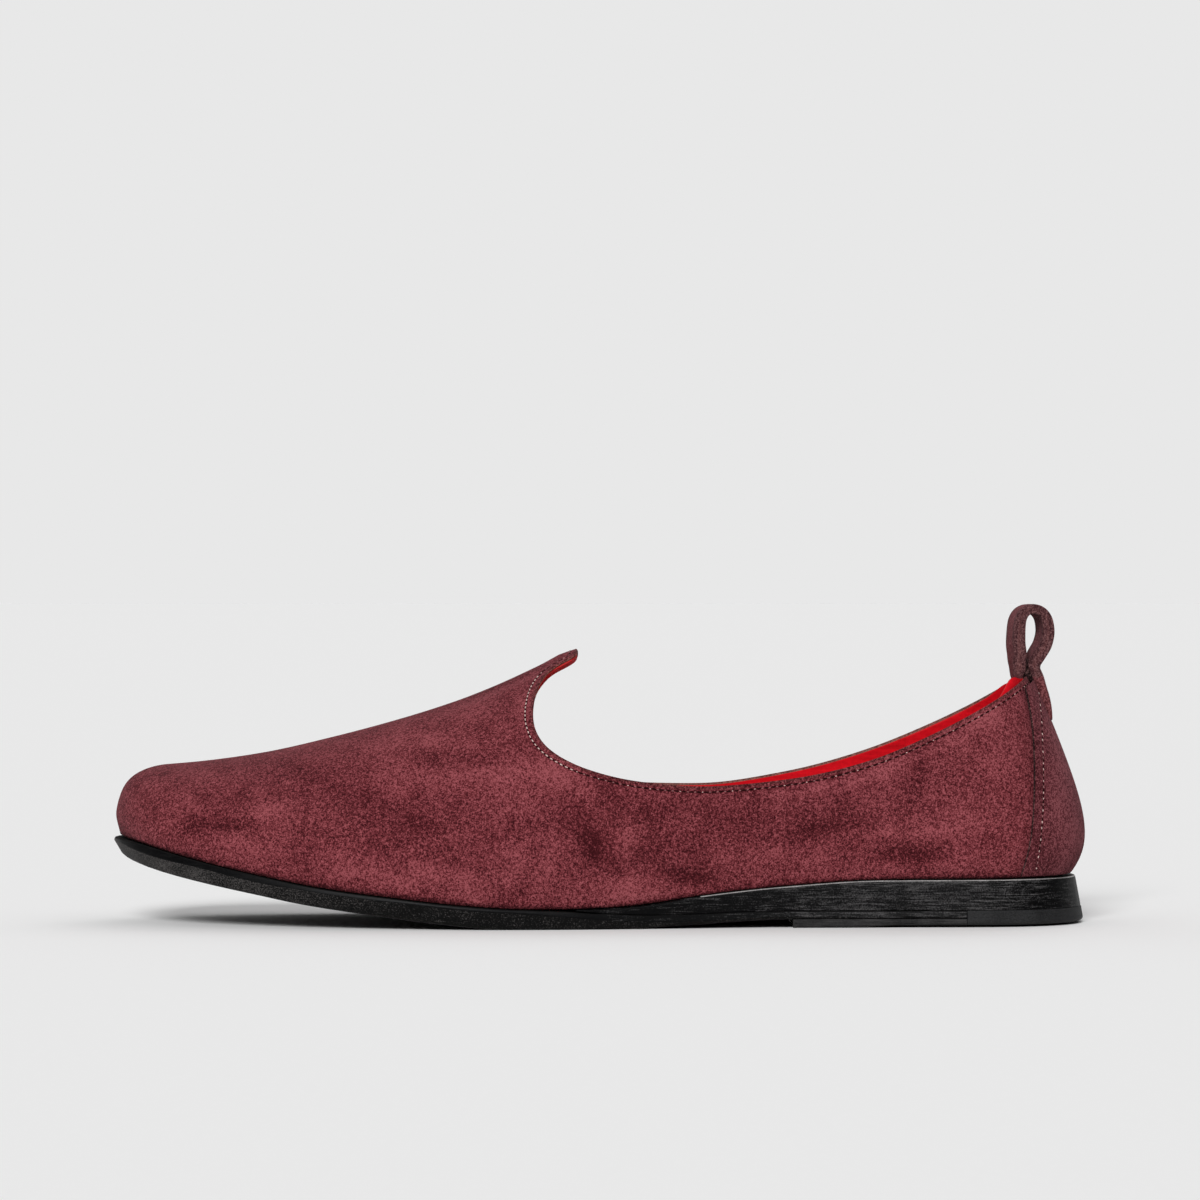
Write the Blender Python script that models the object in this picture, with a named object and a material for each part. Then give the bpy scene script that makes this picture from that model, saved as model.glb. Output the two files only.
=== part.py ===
"""Left slip-on slipper: suede upper, heel tab and pull loop on a low leather sole.

The shoe stands with its toe toward -Y, its heel toward +Y and its outer (lateral) side toward +X.
Tables and sizes are in millimetres; stations run from the toe end of the last to its heel end.
"""
import math

import bmesh
import bpy
import numpy as np

# ---- driving dimensions, mm -------------------------------------------------------------------
LAST_LENGTH = 281.6        # feather line, toe to heel
BALL_WIDTH = 96.0          # feather line across the ball
INSTEP_HEIGHT = 81.2       # tip of the vamp above the floor
HEEL_HEIGHT = 14.3         # heel seat above the floor
SHOE_LENGTH = 290.0        # sole tip to the swell of the heel tab

WALL = 2.2                 # suede and lining together
FIT = 0.3                  # gap between pieces that touch
TAB_THICKNESS = 1.2
INSOLE_THICKNESS = 2.6
TOE_EDGE = 1.8             # sole tip ahead of the feather line

TOE_ROUND = 45.0           # length over which the plan outline closes at the toe
HEEL_ROUND = 33.0
TOE_PLAN_POWER = 2.2
HEEL_PLAN_POWER = 2.3
TOE_FAN = 60.0             # ribs turn from across the last to along it ahead of this station
TOE_POLE = 14.0            # station on the ridge where the foremost rib ends
HEEL_FAN = 225.0
HEEL_POLE = 249.0

# The last, one row for each section. Widths are fractions of the ball width, measured from the
# axis; heights above the floor are fractions of the instep height. ridge_power below 2 makes the
# top of a section sharper, wall_power above 2 makes its sides steeper. swell is how far the wall
# stands outside the feather line, in mm, and swell_height the fraction of the rib where it does.
LAST = dict(
    columns=("station", "axis", "lateral", "medial", "feather", "ridge",
             "ridge_power", "wall_power", "swell", "swell_height"),
    rows=(
        (0.000, -0.073, 0.427, 0.344, 0.322, 0.555, 1.45, 5.50, 2.4, 0.20),
        (0.036, -0.066, 0.435, 0.353, 0.292, 0.570, 1.75, 3.90, 2.2, 0.19),
        (0.085, -0.052, 0.446, 0.395, 0.249, 0.585, 2.10, 2.90, 2.0, 0.18),
        (0.152, -0.034, 0.470, 0.430, 0.197, 0.618, 2.20, 2.45, 2.0, 0.17),
        (0.224, -0.017, 0.499, 0.462, 0.149, 0.675, 2.10, 2.30, 2.0, 0.17),
        (0.295, -0.008, 0.512, 0.476, 0.117, 0.741, 2.00, 2.25, 2.0, 0.17),
        (0.365, 0.000, 0.512, 0.452, 0.090, 0.819, 1.90, 2.20, 1.9, 0.17),
        (0.437, 0.000, 0.497, 0.410, 0.075, 0.925, 1.80, 2.20, 1.8, 0.17),
        (0.480, 0.000, 0.480, 0.379, 0.075, 1.000, 1.75, 2.20, 1.7, 0.17),
        (0.540, 0.000, 0.446, 0.337, 0.084, 1.050, 1.85, 2.30, 1.5, 0.17),
        (0.615, 0.000, 0.404, 0.309, 0.121, 1.090, 2.00, 2.40, 1.5, 0.17),
        (0.700, 0.000, 0.369, 0.306, 0.152, 1.130, 2.00, 2.40, 1.6, 0.17),
        (0.800, 0.000, 0.348, 0.325, 0.173, 1.190, 1.90, 2.25, 2.2, 0.18),
        (0.900, 0.000, 0.330, 0.340, 0.174, 1.290, 1.75, 1.95, 3.4, 0.20),
        (1.000, 0.000, 0.322, 0.338, 0.176, 1.320, 1.55, 1.61, 7.0, 0.22),
    ),
)

# Edge of the opening, from the tip of the vamp round the throat and back along the collar. The
# inner (medial) edge hangs lower at the throat and stands higher at the ankle.
COLLAR = dict(
    columns=("lateral_station", "lateral_height", "medial_station", "medial_height"),
    rows=(
        (136.4, 81.2, 136.4, 81.2),
        (136.6, 79.8, 137.0, 77.4),
        (133.3, 78.3, 133.3, 76.8),
        (128.0, 75.2, 128.0, 73.7),
        (125.6, 71.9, 125.1, 70.4),
        (124.0, 67.4, 123.3, 66.3),
        (123.4, 61.8, 122.6, 61.5),
        (124.2, 57.6, 123.2, 57.1),
        (126.3, 54.0, 125.1, 53.1),
        (133.5, 48.9, 132.4, 47.1),
        (142.0, 45.6, 141.5, 43.5),
        (153.8, 42.9, 153.8, 40.5),
        (173.0, 41.3, 173.0, 40.2),
        (198.8, 43.4, 198.8, 43.7),
        (221.0, 48.3, 221.0, 49.5),
        (240.0, 56.0, 240.0, 56.9),
        (258.0, 65.3, 258.0, 65.7),
        (268.0, 71.6, 268.0, 71.9),
        (270.4, 73.4, 270.4, 73.4),
    ),
)

# The sole, one row for each section: heights of the outsole's underside, of the corner where its
# edge turns under, and of its top where the heel wedge covers it; how far the edge slants in
# below the corner; and how far the edge stands outside the feather line.
SOLE = dict(
    columns=("station", "bottom", "corner", "under_wedge", "undercut", "edge"),
    rows=(
        (0.0, 20.2, 24.3, 25.0, 3.2, 1.8),
        (4.0, 18.9, 22.8, 24.6, 3.3, 1.6),
        (12.0, 16.5, 20.4, 23.0, 3.2, 1.3),
        (27.0, 13.1, 17.4, 19.5, 3.0, 1.1),
        (43.0, 9.9, 13.7, 15.8, 3.0, 1.0),
        (56.0, 7.3, 11.6, 13.0, 3.0, 1.0),
        (73.0, 4.7, 9.2, 10.4, 3.0, 1.0),
        (86.0, 3.0, 7.9, 8.9, 2.8, 1.0),
        (100.0, 1.3, 6.4, 7.4, 2.6, 1.0),
        (112.0, 0.3, 5.4, 6.3, 2.4, 1.0),
        (119.0, 0.0, 5.1, 5.9, 2.2, 1.0),
        (133.0, 0.0, 3.9, 5.3, 1.7, 1.0),
        (145.0, 0.0, 2.9, 4.4, 1.2, 1.0),
        (158.0, 0.5, 2.1, 3.8, 0.9, 1.0),
        (172.0, 1.2, 2.2, 4.0, 0.7, 1.0),
        (185.0, 2.1, 2.8, 4.5, 0.5, 1.1),
        (199.0, 2.6, 3.2, 4.7, 0.3, 1.2),
        (250.0, 2.6, 3.2, 4.7, 0.3, 1.5),
        (281.6, 2.6, 3.2, 4.7, 0.3, 3.3),
    ),
)
# Section of the undercut face, bottom to corner: share of its height, share of its depth.
UNDERCUT_SHAPE = ((0.0, 1.0), (0.12, 0.72), (1.0, 0.0))

WEDGE_START = 136.0        # station where the heel wedge begins, at the waist
WEDGE_CLEAR = 0.5          # least thickness of the wedge at its front edge
WEDGE_RIM = 0.15           # of the wedge's height, rounded off under the upper
HEEL_FLARE = 2.1           # how much the heel widens from its seat to the floor, at the back
HEEL_FLARE_START = 205.0
BREAST = 199.5             # front of the heel's top lift
LIFT_FLAT = 215.0          # the lift is level with the floor as far back as this
LIFT_BLEND = 15.0          # the change is spread over this length
LIFT_RISE = 0.7            # and the back stands this far off the floor
RUBBER_START = 250.6
RUBBER_TOP = 4.7

# Front edge of the heel tab, seen from the side.
TAB_EDGE = dict(
    columns=("height", "station"),
    rows=((14.0, 265.8), (19.0, 267.2), (24.0, 268.3), (29.0, 269.0), (36.0, 269.4),
          (47.0, 269.7), (60.0, 269.4), (66.0, 268.6), (71.0, 267.6)),
)

TAB_DROP = 2.2             # top of the tab below the edge of the collar
LOOP_WIDTH = 13.0
LOOP_STATION = 271.4       # middle of the eye
LOOP_TWIST = 6.0           # degrees, between the collar and the eye
TWIST_CLIMB = 8.0          # height over which the twist builds up
LEG_FIT = 0.50             # gap between a leg and the wall
LEG_CURVE = 0.7            # how far the edges of the legs bend forward round the heel
LOOP_RINGS = 57

# The eye, from where its two strands meet up to its crown: middle line of each strand ahead of
# and behind the middle of the eye.
LOOP_EYE = dict(
    columns=("height", "ahead", "behind", "thickness"),
    rows=((75.8, 3.6, 0.8, 4.0), (79.2, 3.9, 1.9, 3.9), (82.8, 4.4, 3.8, 3.7),
          (86.4, 4.3, 4.5, 3.5), (89.8, 3.9, 4.0, 3.3), (92.2, 2.4, 2.4, 3.0),
          (93.1, 0.0, 0.0, 2.9)),
)
# Each leg is skived thinner from the collar down to its end.
LOOP_LEG = dict(
    columns=("below_collar", "thickness"),
    rows=((13.6, 0.5), (11.4, 1.3), (8.4, 2.1), (5.0, 2.6), (0.8, 2.7)),
)

RIBS_TO_TIP = 26           # toe to tip of the vamp
RIBS_THROAT = 11           # round the throat
RIBS_COLLAR = 24           # along the collar to the heel
TIP_RIB = 108.0            # station at the feather line of the rib that ends at the tip
THROAT_RIB = 139.0         # and of the rib that ends where the throat turns into the collar
SWEEP = 7.0                # how late the rib to the tip sweeps back: the power of its path
LEAN = 4                   # how late the ribs ahead of it begin to lean back
THROAT_EASE = 1.3          # the sweep fades round the throat with this power
THROAT_SHARE = 0.30        # of the opening's edge, tip to heel, that is throat
ROWS = 11                  # feather line to ridge or collar
# Round the throat the ribs are drawn apart so that none cross, on the last laid flat.
EVENED = slice(12, 47)     # the ribs this reaches, the outermost two staying put
LAST_FLAT = np.array((270.0, 75.0))     # mm, the last's length and girth from sole to ridge
EVEN_ROUNDS = 1500
UNFOLD_ROUNDS = 1000
LEAST_CORNER = 5.0         # mm2, twice the area of the smallest corner of a face
UNFOLD_PACE = 0.004
UNFOLD_MOST = 0.3          # mm moved in one round
MM = 0.001


# ---- curves and surface of the last -----------------------------------------------------------
def smooth_curve(knots, values):
    """Smooth curve through a few points that never overshoots them, as a function."""
    knots, values = np.asarray(knots, float), np.asarray(values, float)
    widths = np.diff(knots)
    rises = np.diff(values) / widths
    slopes = np.zeros_like(values)
    for k in range(1, len(knots) - 1):
        before, after = rises[k - 1], rises[k]
        if before * after > 0:
            weight_a = 2 * widths[k] + widths[k - 1]
            weight_b = widths[k] + 2 * widths[k - 1]
            slopes[k] = (weight_a + weight_b) / (weight_a / before + weight_b / after)
    slopes[0], slopes[-1] = rises[0], rises[-1]

    def at(position):
        position = np.clip(position, knots[0], knots[-1])
        k = np.clip(np.searchsorted(knots, position, side="right") - 1, 0, len(knots) - 2)
        t = (position - knots[k]) / widths[k]
        return (values[k] * (1 + 2 * t) * (1 - t) ** 2 + slopes[k] * widths[k] * t * (1 - t) ** 2
                + values[k + 1] * t ** 2 * (3 - 2 * t) + slopes[k + 1] * widths[k] * t ** 2 * (t - 1))
    return at


def table_curve(table, name, scale=1.0, knot_scale=1.0):
    """One column of a table as a smooth curve over its first column."""
    rows = np.array(table["rows"])
    return smooth_curve(rows[:, 0] * knot_scale, rows[:, table["columns"].index(name)] * scale)


def last_curve(name, scale=1.0):
    return table_curve(LAST, name, scale, LAST_LENGTH)


AXIS = last_curve("axis", BALL_WIDTH)
HALF_WIDTH = {+1: last_curve("lateral", BALL_WIDTH), -1: last_curve("medial", BALL_WIDTH)}
FEATHER = last_curve("feather", INSTEP_HEIGHT)
RIDGE = last_curve("ridge", INSTEP_HEIGHT)
RIDGE_POWER = last_curve("ridge_power")
WALL_POWER = last_curve("wall_power")
SWELL = last_curve("swell")
SWELL_HEIGHT = last_curve("swell_height")
LATERAL, MEDIAL = +1, -1


def rounded(distance, reach, power):
    """Goes from 0 at an end of the outline to 1 at `reach`, as a rounded end does."""
    left = np.clip(1 - distance / reach, 0, 1)
    return (1 - left ** power) ** (1 / power)


class Outline:
    """Half of the feather line in plan, from the toe to the heel, with its normals."""

    def __init__(self, side, samples=400):
        turn = np.linspace(0, math.pi, samples)
        self.station = LAST_LENGTH * (1 - np.cos(turn)) / 2
        width = HALF_WIDTH[side](self.station)
        width = width * rounded(self.station, TOE_ROUND, TOE_PLAN_POWER)
        width = width * rounded(LAST_LENGTH - self.station, HEEL_ROUND, HEEL_PLAN_POWER)
        self.x = AXIS(self.station) + side * width
        steps = np.hypot(np.diff(self.x), np.diff(self.station))
        self.length = np.concatenate(([0], np.cumsum(steps)))
        self.along = self.length / self.length[-1]
        tangent_x = np.gradient(self.x, self.length)
        tangent_s = np.gradient(self.station, self.length)
        tangent_x[[0, -1]] = side, -side
        tangent_s[[0, -1]] = 0
        self.out_x, self.out_s = side * tangent_s, -side * tangent_x

    def at(self, along):
        """Plan point and outward normal, at a fraction of the half outline."""
        x, station, out_x, out_s = [
            np.interp(along, self.along, column)
            for column in (self.x, self.station, self.out_x, self.out_s)]
        size = math.hypot(out_x, out_s)
        return np.array((x, station)), np.array((out_x, out_s)) / size

    def along_at(self, station):
        return float(np.interp(station, self.station, self.along))


OUTLINE = {side: Outline(side) for side in (LATERAL, MEDIAL)}


def spine_stations(samples=401):
    """Where on the spine the ribs end: straight across, but fanned round the toe and the heel.

    Both sides share these ends, so the two halves of the upper meet along the ridge.
    """
    along = np.linspace(0, 1, samples)
    station = sum(np.interp(along, half.along, half.station) for half in OUTLINE.values()) / 2
    whole = sum(half.length[-1] for half in OUTLINE.values()) / 2
    toe_share = np.interp(TOE_FAN, station, along)
    heel_share = 1 - np.interp(HEEL_FAN, station, along)
    toe_reach, heel_reach = TOE_FAN - TOE_POLE, HEEL_POLE - HEEL_FAN
    toe = along < toe_share
    heel = along > 1 - heel_share
    spine = station.copy()
    spine[toe] = TOE_POLE + toe_reach * (along[toe] / toe_share) ** (toe_share * whole / toe_reach)
    left = (1 - along[heel]) / heel_share
    spine[heel] = HEEL_POLE - heel_reach * left ** (heel_share * whole / heel_reach)
    return along, spine


SPINE = spine_stations()


def rib(side, along, depth=0.0, samples=49):
    """One rib of the last, from the feather line to the spine, evenly spaced.

    depth is measured inward from the outside of the upper: the lining and the heel tab use the
    same ribs at other depths.
    """
    (x, station), (out_x, out_s) = OUTLINE[side].at(along)
    spine_s = float(np.interp(along, *SPINE))
    spine = np.array([AXIS(spine_s), spine_s])
    foot = np.array([x - out_x * depth, station - out_s * depth])
    base = FEATHER(station)
    height = RIDGE(spine_s) - depth - base
    turn = np.linspace(0, math.pi / 2, samples)
    inward = np.abs(np.cos(turn)) ** (2 / RIDGE_POWER(station))
    upward = np.sin(turn) ** (2 / WALL_POWER(station))
    share = upward / SWELL_HEIGHT(station)
    swell = SWELL(station) * share * np.exp(1 - share) * (1 - upward)
    reach = foot - spine
    outward = reach / np.hypot(*reach)
    plan = spine + inward[:, None] * reach + swell[:, None] * outward
    points = np.column_stack((plan, base + upward * height))
    run = np.concatenate(([0], np.cumsum(np.linalg.norm(np.diff(points, axis=0), axis=1))))
    even = np.linspace(0, run[-1], samples)
    return np.column_stack([np.interp(even, run, points[:, k]) for k in range(3)])


def on_last(side, along, rise, depth=0.0):
    """Point of the last: `rise` is the fraction of the rib above the feather line."""
    points = rib(side, along, depth)
    places = np.linspace(0, 1, len(points))
    return np.array([np.interp(rise, places, points[:, k]) for k in range(3)])


class Chart:
    """Finds the rib and the rise of a point on the last from its station and height."""

    def __init__(self, side, ribs=181):
        self.along = np.linspace(0, 1, ribs)
        self.ribs = [rib(side, along) for along in self.along]
        self.places = np.linspace(0, 1, len(self.ribs[0]))

    def find(self, station, height):
        stations = [np.interp(height, points[:, 2], points[:, 1]) for points in self.ribs]
        along = float(np.interp(station, np.maximum.accumulate(stations), self.along))
        return along, self.rise(along, height)

    def rise(self, along, height):
        rises = [np.interp(height, points[:, 2], self.places) for points in self.ribs]
        return float(np.interp(along, self.along, rises))


CHART = {side: Chart(side) for side in (LATERAL, MEDIAL)}


# ---- mesh helpers -----------------------------------------------------------------------------
def shoe_point(point):
    """Station frame (x, station, height) in mm to world metres."""
    return (point[0] - CENTRE_X) * MM, (point[1] + TOE_EDGE - SHOE_LENGTH / 2) * MM, point[2] * MM


def outline_limits():
    """Extent of the sole edge to either side of the axis line."""
    edge = table_curve(SOLE, "edge")
    limits = []
    for side in (MEDIAL, LATERAL):
        outline = OUTLINE[side]
        limits.append(side * np.max(side * (outline.x + outline.out_x * edge(outline.station))))
    return limits


CENTRE_X = sum(outline_limits()) / 2


def material(name, colour, roughness):
    """Opaque finish: colour, roughness and no metal."""
    finish = bpy.data.materials.new(name)
    finish.use_nodes = True
    shader = finish.node_tree.nodes["Principled BSDF"]
    shader.inputs["Base Color"].default_value = (*colour, 1.0)
    shader.inputs["Roughness"].default_value = roughness
    shader.inputs["Metallic"].default_value = 0.0
    return finish


def finish_object(name, mesh_builder, colour, roughness, sharp_angle=40.0):
    """Closes a bmesh into a named, smooth-shaded object with its own material."""
    bmesh.ops.remove_doubles(mesh_builder, verts=mesh_builder.verts, dist=1e-7)
    bmesh.ops.recalc_face_normals(mesh_builder, faces=mesh_builder.faces)
    mesh = bpy.data.meshes.new(name)
    mesh_builder.to_mesh(mesh)
    mesh_builder.free()
    mesh.shade_smooth()
    mesh.set_sharp_from_angle(angle=math.radians(sharp_angle))
    mesh.materials.append(material(name, colour, roughness))
    shoe_part = bpy.data.objects.new(name, mesh)
    bpy.context.collection.objects.link(shoe_part)
    return shoe_part


def add_grid(builder, grid):
    """Vertices and quads of a grid of points, returned as rows of vertices."""
    rows = [[builder.verts.new(shoe_point(point)) for point in row] for row in grid]
    join_rows(builder, rows)
    return rows


def join_rows(builder, rows):
    """Quads between neighbouring rows of vertices."""
    for low, high in zip(rows, rows[1:]):
        for k in range(len(low) - 1):
            builder.faces.new((low[k], low[k + 1], high[k + 1], high[k]))


def add_shell(builder, outer, inner, open_sides):
    """Two matching grids joined along the sides named: first, last, start and end."""
    outer_rows = add_grid(builder, outer)
    inner_rows = add_grid(builder, inner)
    borders = {
        "first": (outer_rows[0], inner_rows[0]),
        "last": (outer_rows[-1], inner_rows[-1]),
        "start": ([row[0] for row in outer_rows], [row[0] for row in inner_rows]),
        "end": ([row[-1] for row in outer_rows], [row[-1] for row in inner_rows]),
    }
    for side in open_sides:
        join_rows(builder, borders[side])


# ---- upper ------------------------------------------------------------------------------------
def collar_places(side, samples=161):
    """The edge of the opening as (along, rise) on the last, evenly from the tip to the heel."""
    first = 0 if side == LATERAL else 2
    rows = np.array(COLLAR["rows"])[:, first:first + 2]
    run = np.concatenate(([0], np.cumsum(np.hypot(*np.diff(rows, axis=0).T))))
    station, height = smooth_curve(run, rows[:, 0]), smooth_curve(run, rows[:, 1])
    places = []
    for left in np.linspace(1, 0, samples):
        position = (1 - left ** 2) * run[-1]
        places.append(CHART[side].find(station(position), height(position)))
    places[0] = (np.interp(rows[0, 0], SPINE[1], SPINE[0]), 1.0)
    places[-1] = (1.0, CHART[side].rise(1.0, rows[-1, 1]))
    places = np.array(places)
    points = np.array([on_last(side, along, rise) for along, rise in places])
    length = np.concatenate(([0], np.cumsum(np.linalg.norm(np.diff(points, axis=0), axis=1))))
    even = np.linspace(0, length[-1], samples)
    return np.column_stack([np.interp(even, length, column) for column in places.T])


def rib_places(side):
    """Each rib of the upper: its start (along), its end (along, rise), and its sweep.

    The ribs that end near the tip of the vamp stay ahead of the throat, then sweep back to it.
    """
    collar = collar_places(side)
    shares = np.linspace(0, 1, len(collar))
    tip = collar[0, 0]
    tip_start, throat_start = (OUTLINE[side].along_at(station) for station in (TIP_RIB, THROAT_RIB))
    both_starts = sum(half.along_at(TIP_RIB) for half in OUTLINE.values()) / 2
    places = []
    for k in range(RIBS_TO_TIP):
        share = k / RIBS_TO_TIP
        end = share * both_starts + (tip - both_starts) * share ** LEAN
        places.append((share * tip_start, end, 1.0, 1 + share * (SWEEP - 1)))
    for k in range(RIBS_THROAT):
        share = k / RIBS_THROAT
        end = [np.interp(share * THROAT_SHARE, shares, column) for column in collar.T]
        start = tip_start + (throat_start - tip_start) * share ** THROAT_EASE
        places.append((start, *end, 1 + (SWEEP - 1) * (1 - share) ** THROAT_EASE))
    for k in range(RIBS_COLLAR + 1):
        share = k / RIBS_COLLAR
        at = THROAT_SHARE + (1 - THROAT_SHARE) * share
        end = [np.interp(at, shares, column) for column in collar.T]
        places.append((throat_start + (1 - throat_start) * share, *end, 1.0))
    return places


def evened(ribs):
    """The same ribs, first and last kept, drawn apart like the lines of a stretched net.

    They are worked on a finer net and then spaced evenly along their own length again.
    """
    fine = [np.linspace(0, count - 1, (count - 1) * finer + 1)
            for count, finer in zip(ribs.shape, (2, 5))]
    net = np.array([[np.interp(fine[0], np.arange(len(ribs)), ribs[:, row, axis])
                     for row in range(ribs.shape[1])] for axis in (0, 1)])
    net = np.array([[np.interp(fine[1], np.arange(ribs.shape[1]), line)
                     for line in plane.T] for plane in net]).transpose(1, 2, 0)
    for _ in range(EVEN_ROUNDS):
        along = (net[2:, 1:-1] - net[:-2, 1:-1]) / 2
        up = (net[1:-1, 2:] - net[1:-1, :-2]) / 2
        cross = (net[2:, 2:] - net[2:, :-2] - net[:-2, 2:] + net[:-2, :-2]) / 4
        stretch, run = ((step ** 2).sum(-1, keepdims=True) for step in (up, along))
        skew = (along * up).sum(-1, keepdims=True)
        net[1:-1, 1:-1] = (stretch * (net[2:, 1:-1] + net[:-2, 1:-1])
                           + run * (net[1:-1, 2:] + net[1:-1, :-2])
                           - 2 * skew * cross) / (2 * (stretch + run))
    spaced = ribs.copy()
    for k in range(1, len(ribs) - 1):
        line = net[2 * k]
        reach = np.concatenate(([0], np.cumsum(np.hypot(*np.diff(line, axis=0).T))))
        at = np.linspace(0, reach[-1], ribs.shape[1])
        spaced[k] = np.stack([np.interp(at, reach, line[:, axis]) for axis in (0, 1)], -1)
    return spaced


def unfolded(ribs):
    """The same ribs, nudged until every corner of every face between them opens the right way."""
    ribs = ribs.copy()
    for _ in range(UNFOLD_ROUNDS):
        push = np.zeros_like(ribs)
        for on, up in ((1, 1), (-1, 1), (-1, -1), (1, -1)):
            here = tuple(slice(max(0, -step), count - max(0, step))
                         for step, count in zip((on, up), ribs.shape))
            there = tuple(slice(part.start + step, part.stop + step)
                          for part, step in zip(here, (on, up)))
            beside, above = (there[0], here[1]), (here[0], there[1])
            sideways, upward = ribs[beside] - ribs[here], ribs[above] - ribs[here]
            turn = on * up
            area = turn * (sideways[..., 0] * upward[..., 1] - sideways[..., 1] * upward[..., 0])
            short = turn * np.clip(LEAST_CORNER - area, 0, None)[..., None]
            push_beside = short * np.stack([upward[..., 1], -upward[..., 0]], -1)
            push_above = short * np.stack([-sideways[..., 1], sideways[..., 0]], -1)
            push[beside] += push_beside
            push[above] += push_above
            push[here] -= push_beside + push_above
        push[0] = push[-1] = push[:, 0] = push[:, -1] = 0
        push *= UNFOLD_PACE
        ribs += push * min(1, UNFOLD_MOST / max(np.abs(push).max(), 1e-9))
    return ribs


def upper_layout(side):
    """Where each rib's points lie on the last, as (along, rise), with no two ribs crossing."""
    shares = np.linspace(0, 1, ROWS + 1)[:, None]
    layout = np.array([np.hstack([start + (end - start) * shares ** sweep, rise * shares])
                       for start, end, rise, sweep in rib_places(side)])
    flat = layout[EVENED] * LAST_FLAT
    layout[EVENED] = unfolded(evened(flat)) / LAST_FLAT
    return layout


def upper_grid(side, layout, depth):
    """Rows of points from the feather line up to the ridge and the collar."""
    grid = [[on_last(side, along, rise, depth) for along, rise in rib] for rib in layout]
    return [list(row) for row in zip(*grid)]


def build_upper():
    """Hollow suede upper: one wall, open at the collar and underneath."""
    builder = bmesh.new()
    for side in (LATERAL, MEDIAL):
        layout = upper_layout(side)
        outer = upper_grid(side, layout, 0.0)
        inner = upper_grid(side, layout, WALL)
        outer_rows = add_grid(builder, outer)
        inner_rows = add_grid(builder, inner)
        join_rows(builder, (outer_rows[0], inner_rows[0]))
        join_rows(builder, (outer_rows[-1][RIBS_TO_TIP:], inner_rows[-1][RIBS_TO_TIP:]))
    return finish_object("upper", builder, (0.115, 0.022, 0.032), 0.95)


# ---- heel tab and pull loop -------------------------------------------------------------------
def tab_grid(depth, rows=14, columns=13):
    """Part of the last that the tab covers, at one depth, feather line to just below the collar."""
    edge = table_curve(TAB_EDGE, "station")
    bottom = FEATHER(LAST_LENGTH) + FIT
    tops = {}
    for side in (LATERAL, MEDIAL):
        collar = collar_places(side)
        heights = [on_last(side, along, rise)[2] - TAB_DROP for along, rise in collar]
        tops[side] = (collar[:, 0], heights)
    grid = []
    for row in range(rows + 1):
        climb = row / rows
        line = []
        for side in (LATERAL, MEDIAL):
            front_height = bottom + (TAB_EDGE["rows"][-1][0] - bottom) * climb
            front, _ = CHART[side].find(edge(front_height), front_height)
            half = []
            for along in np.linspace(front, 1, columns + 1):
                height = bottom + (np.interp(along, *tops[side]) - bottom) * climb
                half.append(on_last(side, along, CHART[side].rise(along, height), depth))
            line += half if side == LATERAL else half[-2::-1]
        grid.append(line)
    return grid


def build_heel_tab():
    """Suede counter that stands proud of the upper round the back of the heel."""
    builder = bmesh.new()
    add_shell(builder, tab_grid(-FIT - TAB_THICKNESS), tab_grid(-FIT),
              ("first", "last", "start", "end"))
    return finish_object("heel_tab", builder, (0.100, 0.019, 0.028), 0.95)


def leg_line(depth, side):
    """One leg of the loop as (station, height, thickness) up the wall at one depth.

    side is +1 for the leg outside the heel and -1 for the one inside it.
    """
    wall = rib(LATERAL, 1.0, depth)[:, 1:]
    tangent = np.gradient(wall, axis=0)
    outward = np.column_stack((tangent[:, 1], -tangent[:, 0]))
    outward /= np.linalg.norm(outward, axis=1)[:, None]
    leg = []
    for below, thickness in LOOP_LEG["rows"]:
        line = wall + side * (LEG_FIT + thickness / 2) * outward
        height = COLLAR["rows"][-1][1] - below
        leg.append((np.interp(height, line[:, 1], line[:, 0]), height, thickness))
    return leg


def loop_path():
    """Middle line of the loop as (station, height, thickness): outer leg, eye, inner leg."""
    rear, front = [], []
    for height, ahead, behind, thickness in LOOP_EYE["rows"]:
        rear.append((LOOP_STATION + behind, height, thickness))
        front.append((LOOP_STATION - ahead, height, thickness))
    outer_leg = leg_line(-FIT - TAB_THICKNESS, +1)
    inner_leg = leg_line(WALL, -1)
    return outer_leg + rear + front[-2::-1] + inner_leg[::-1]


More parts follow.
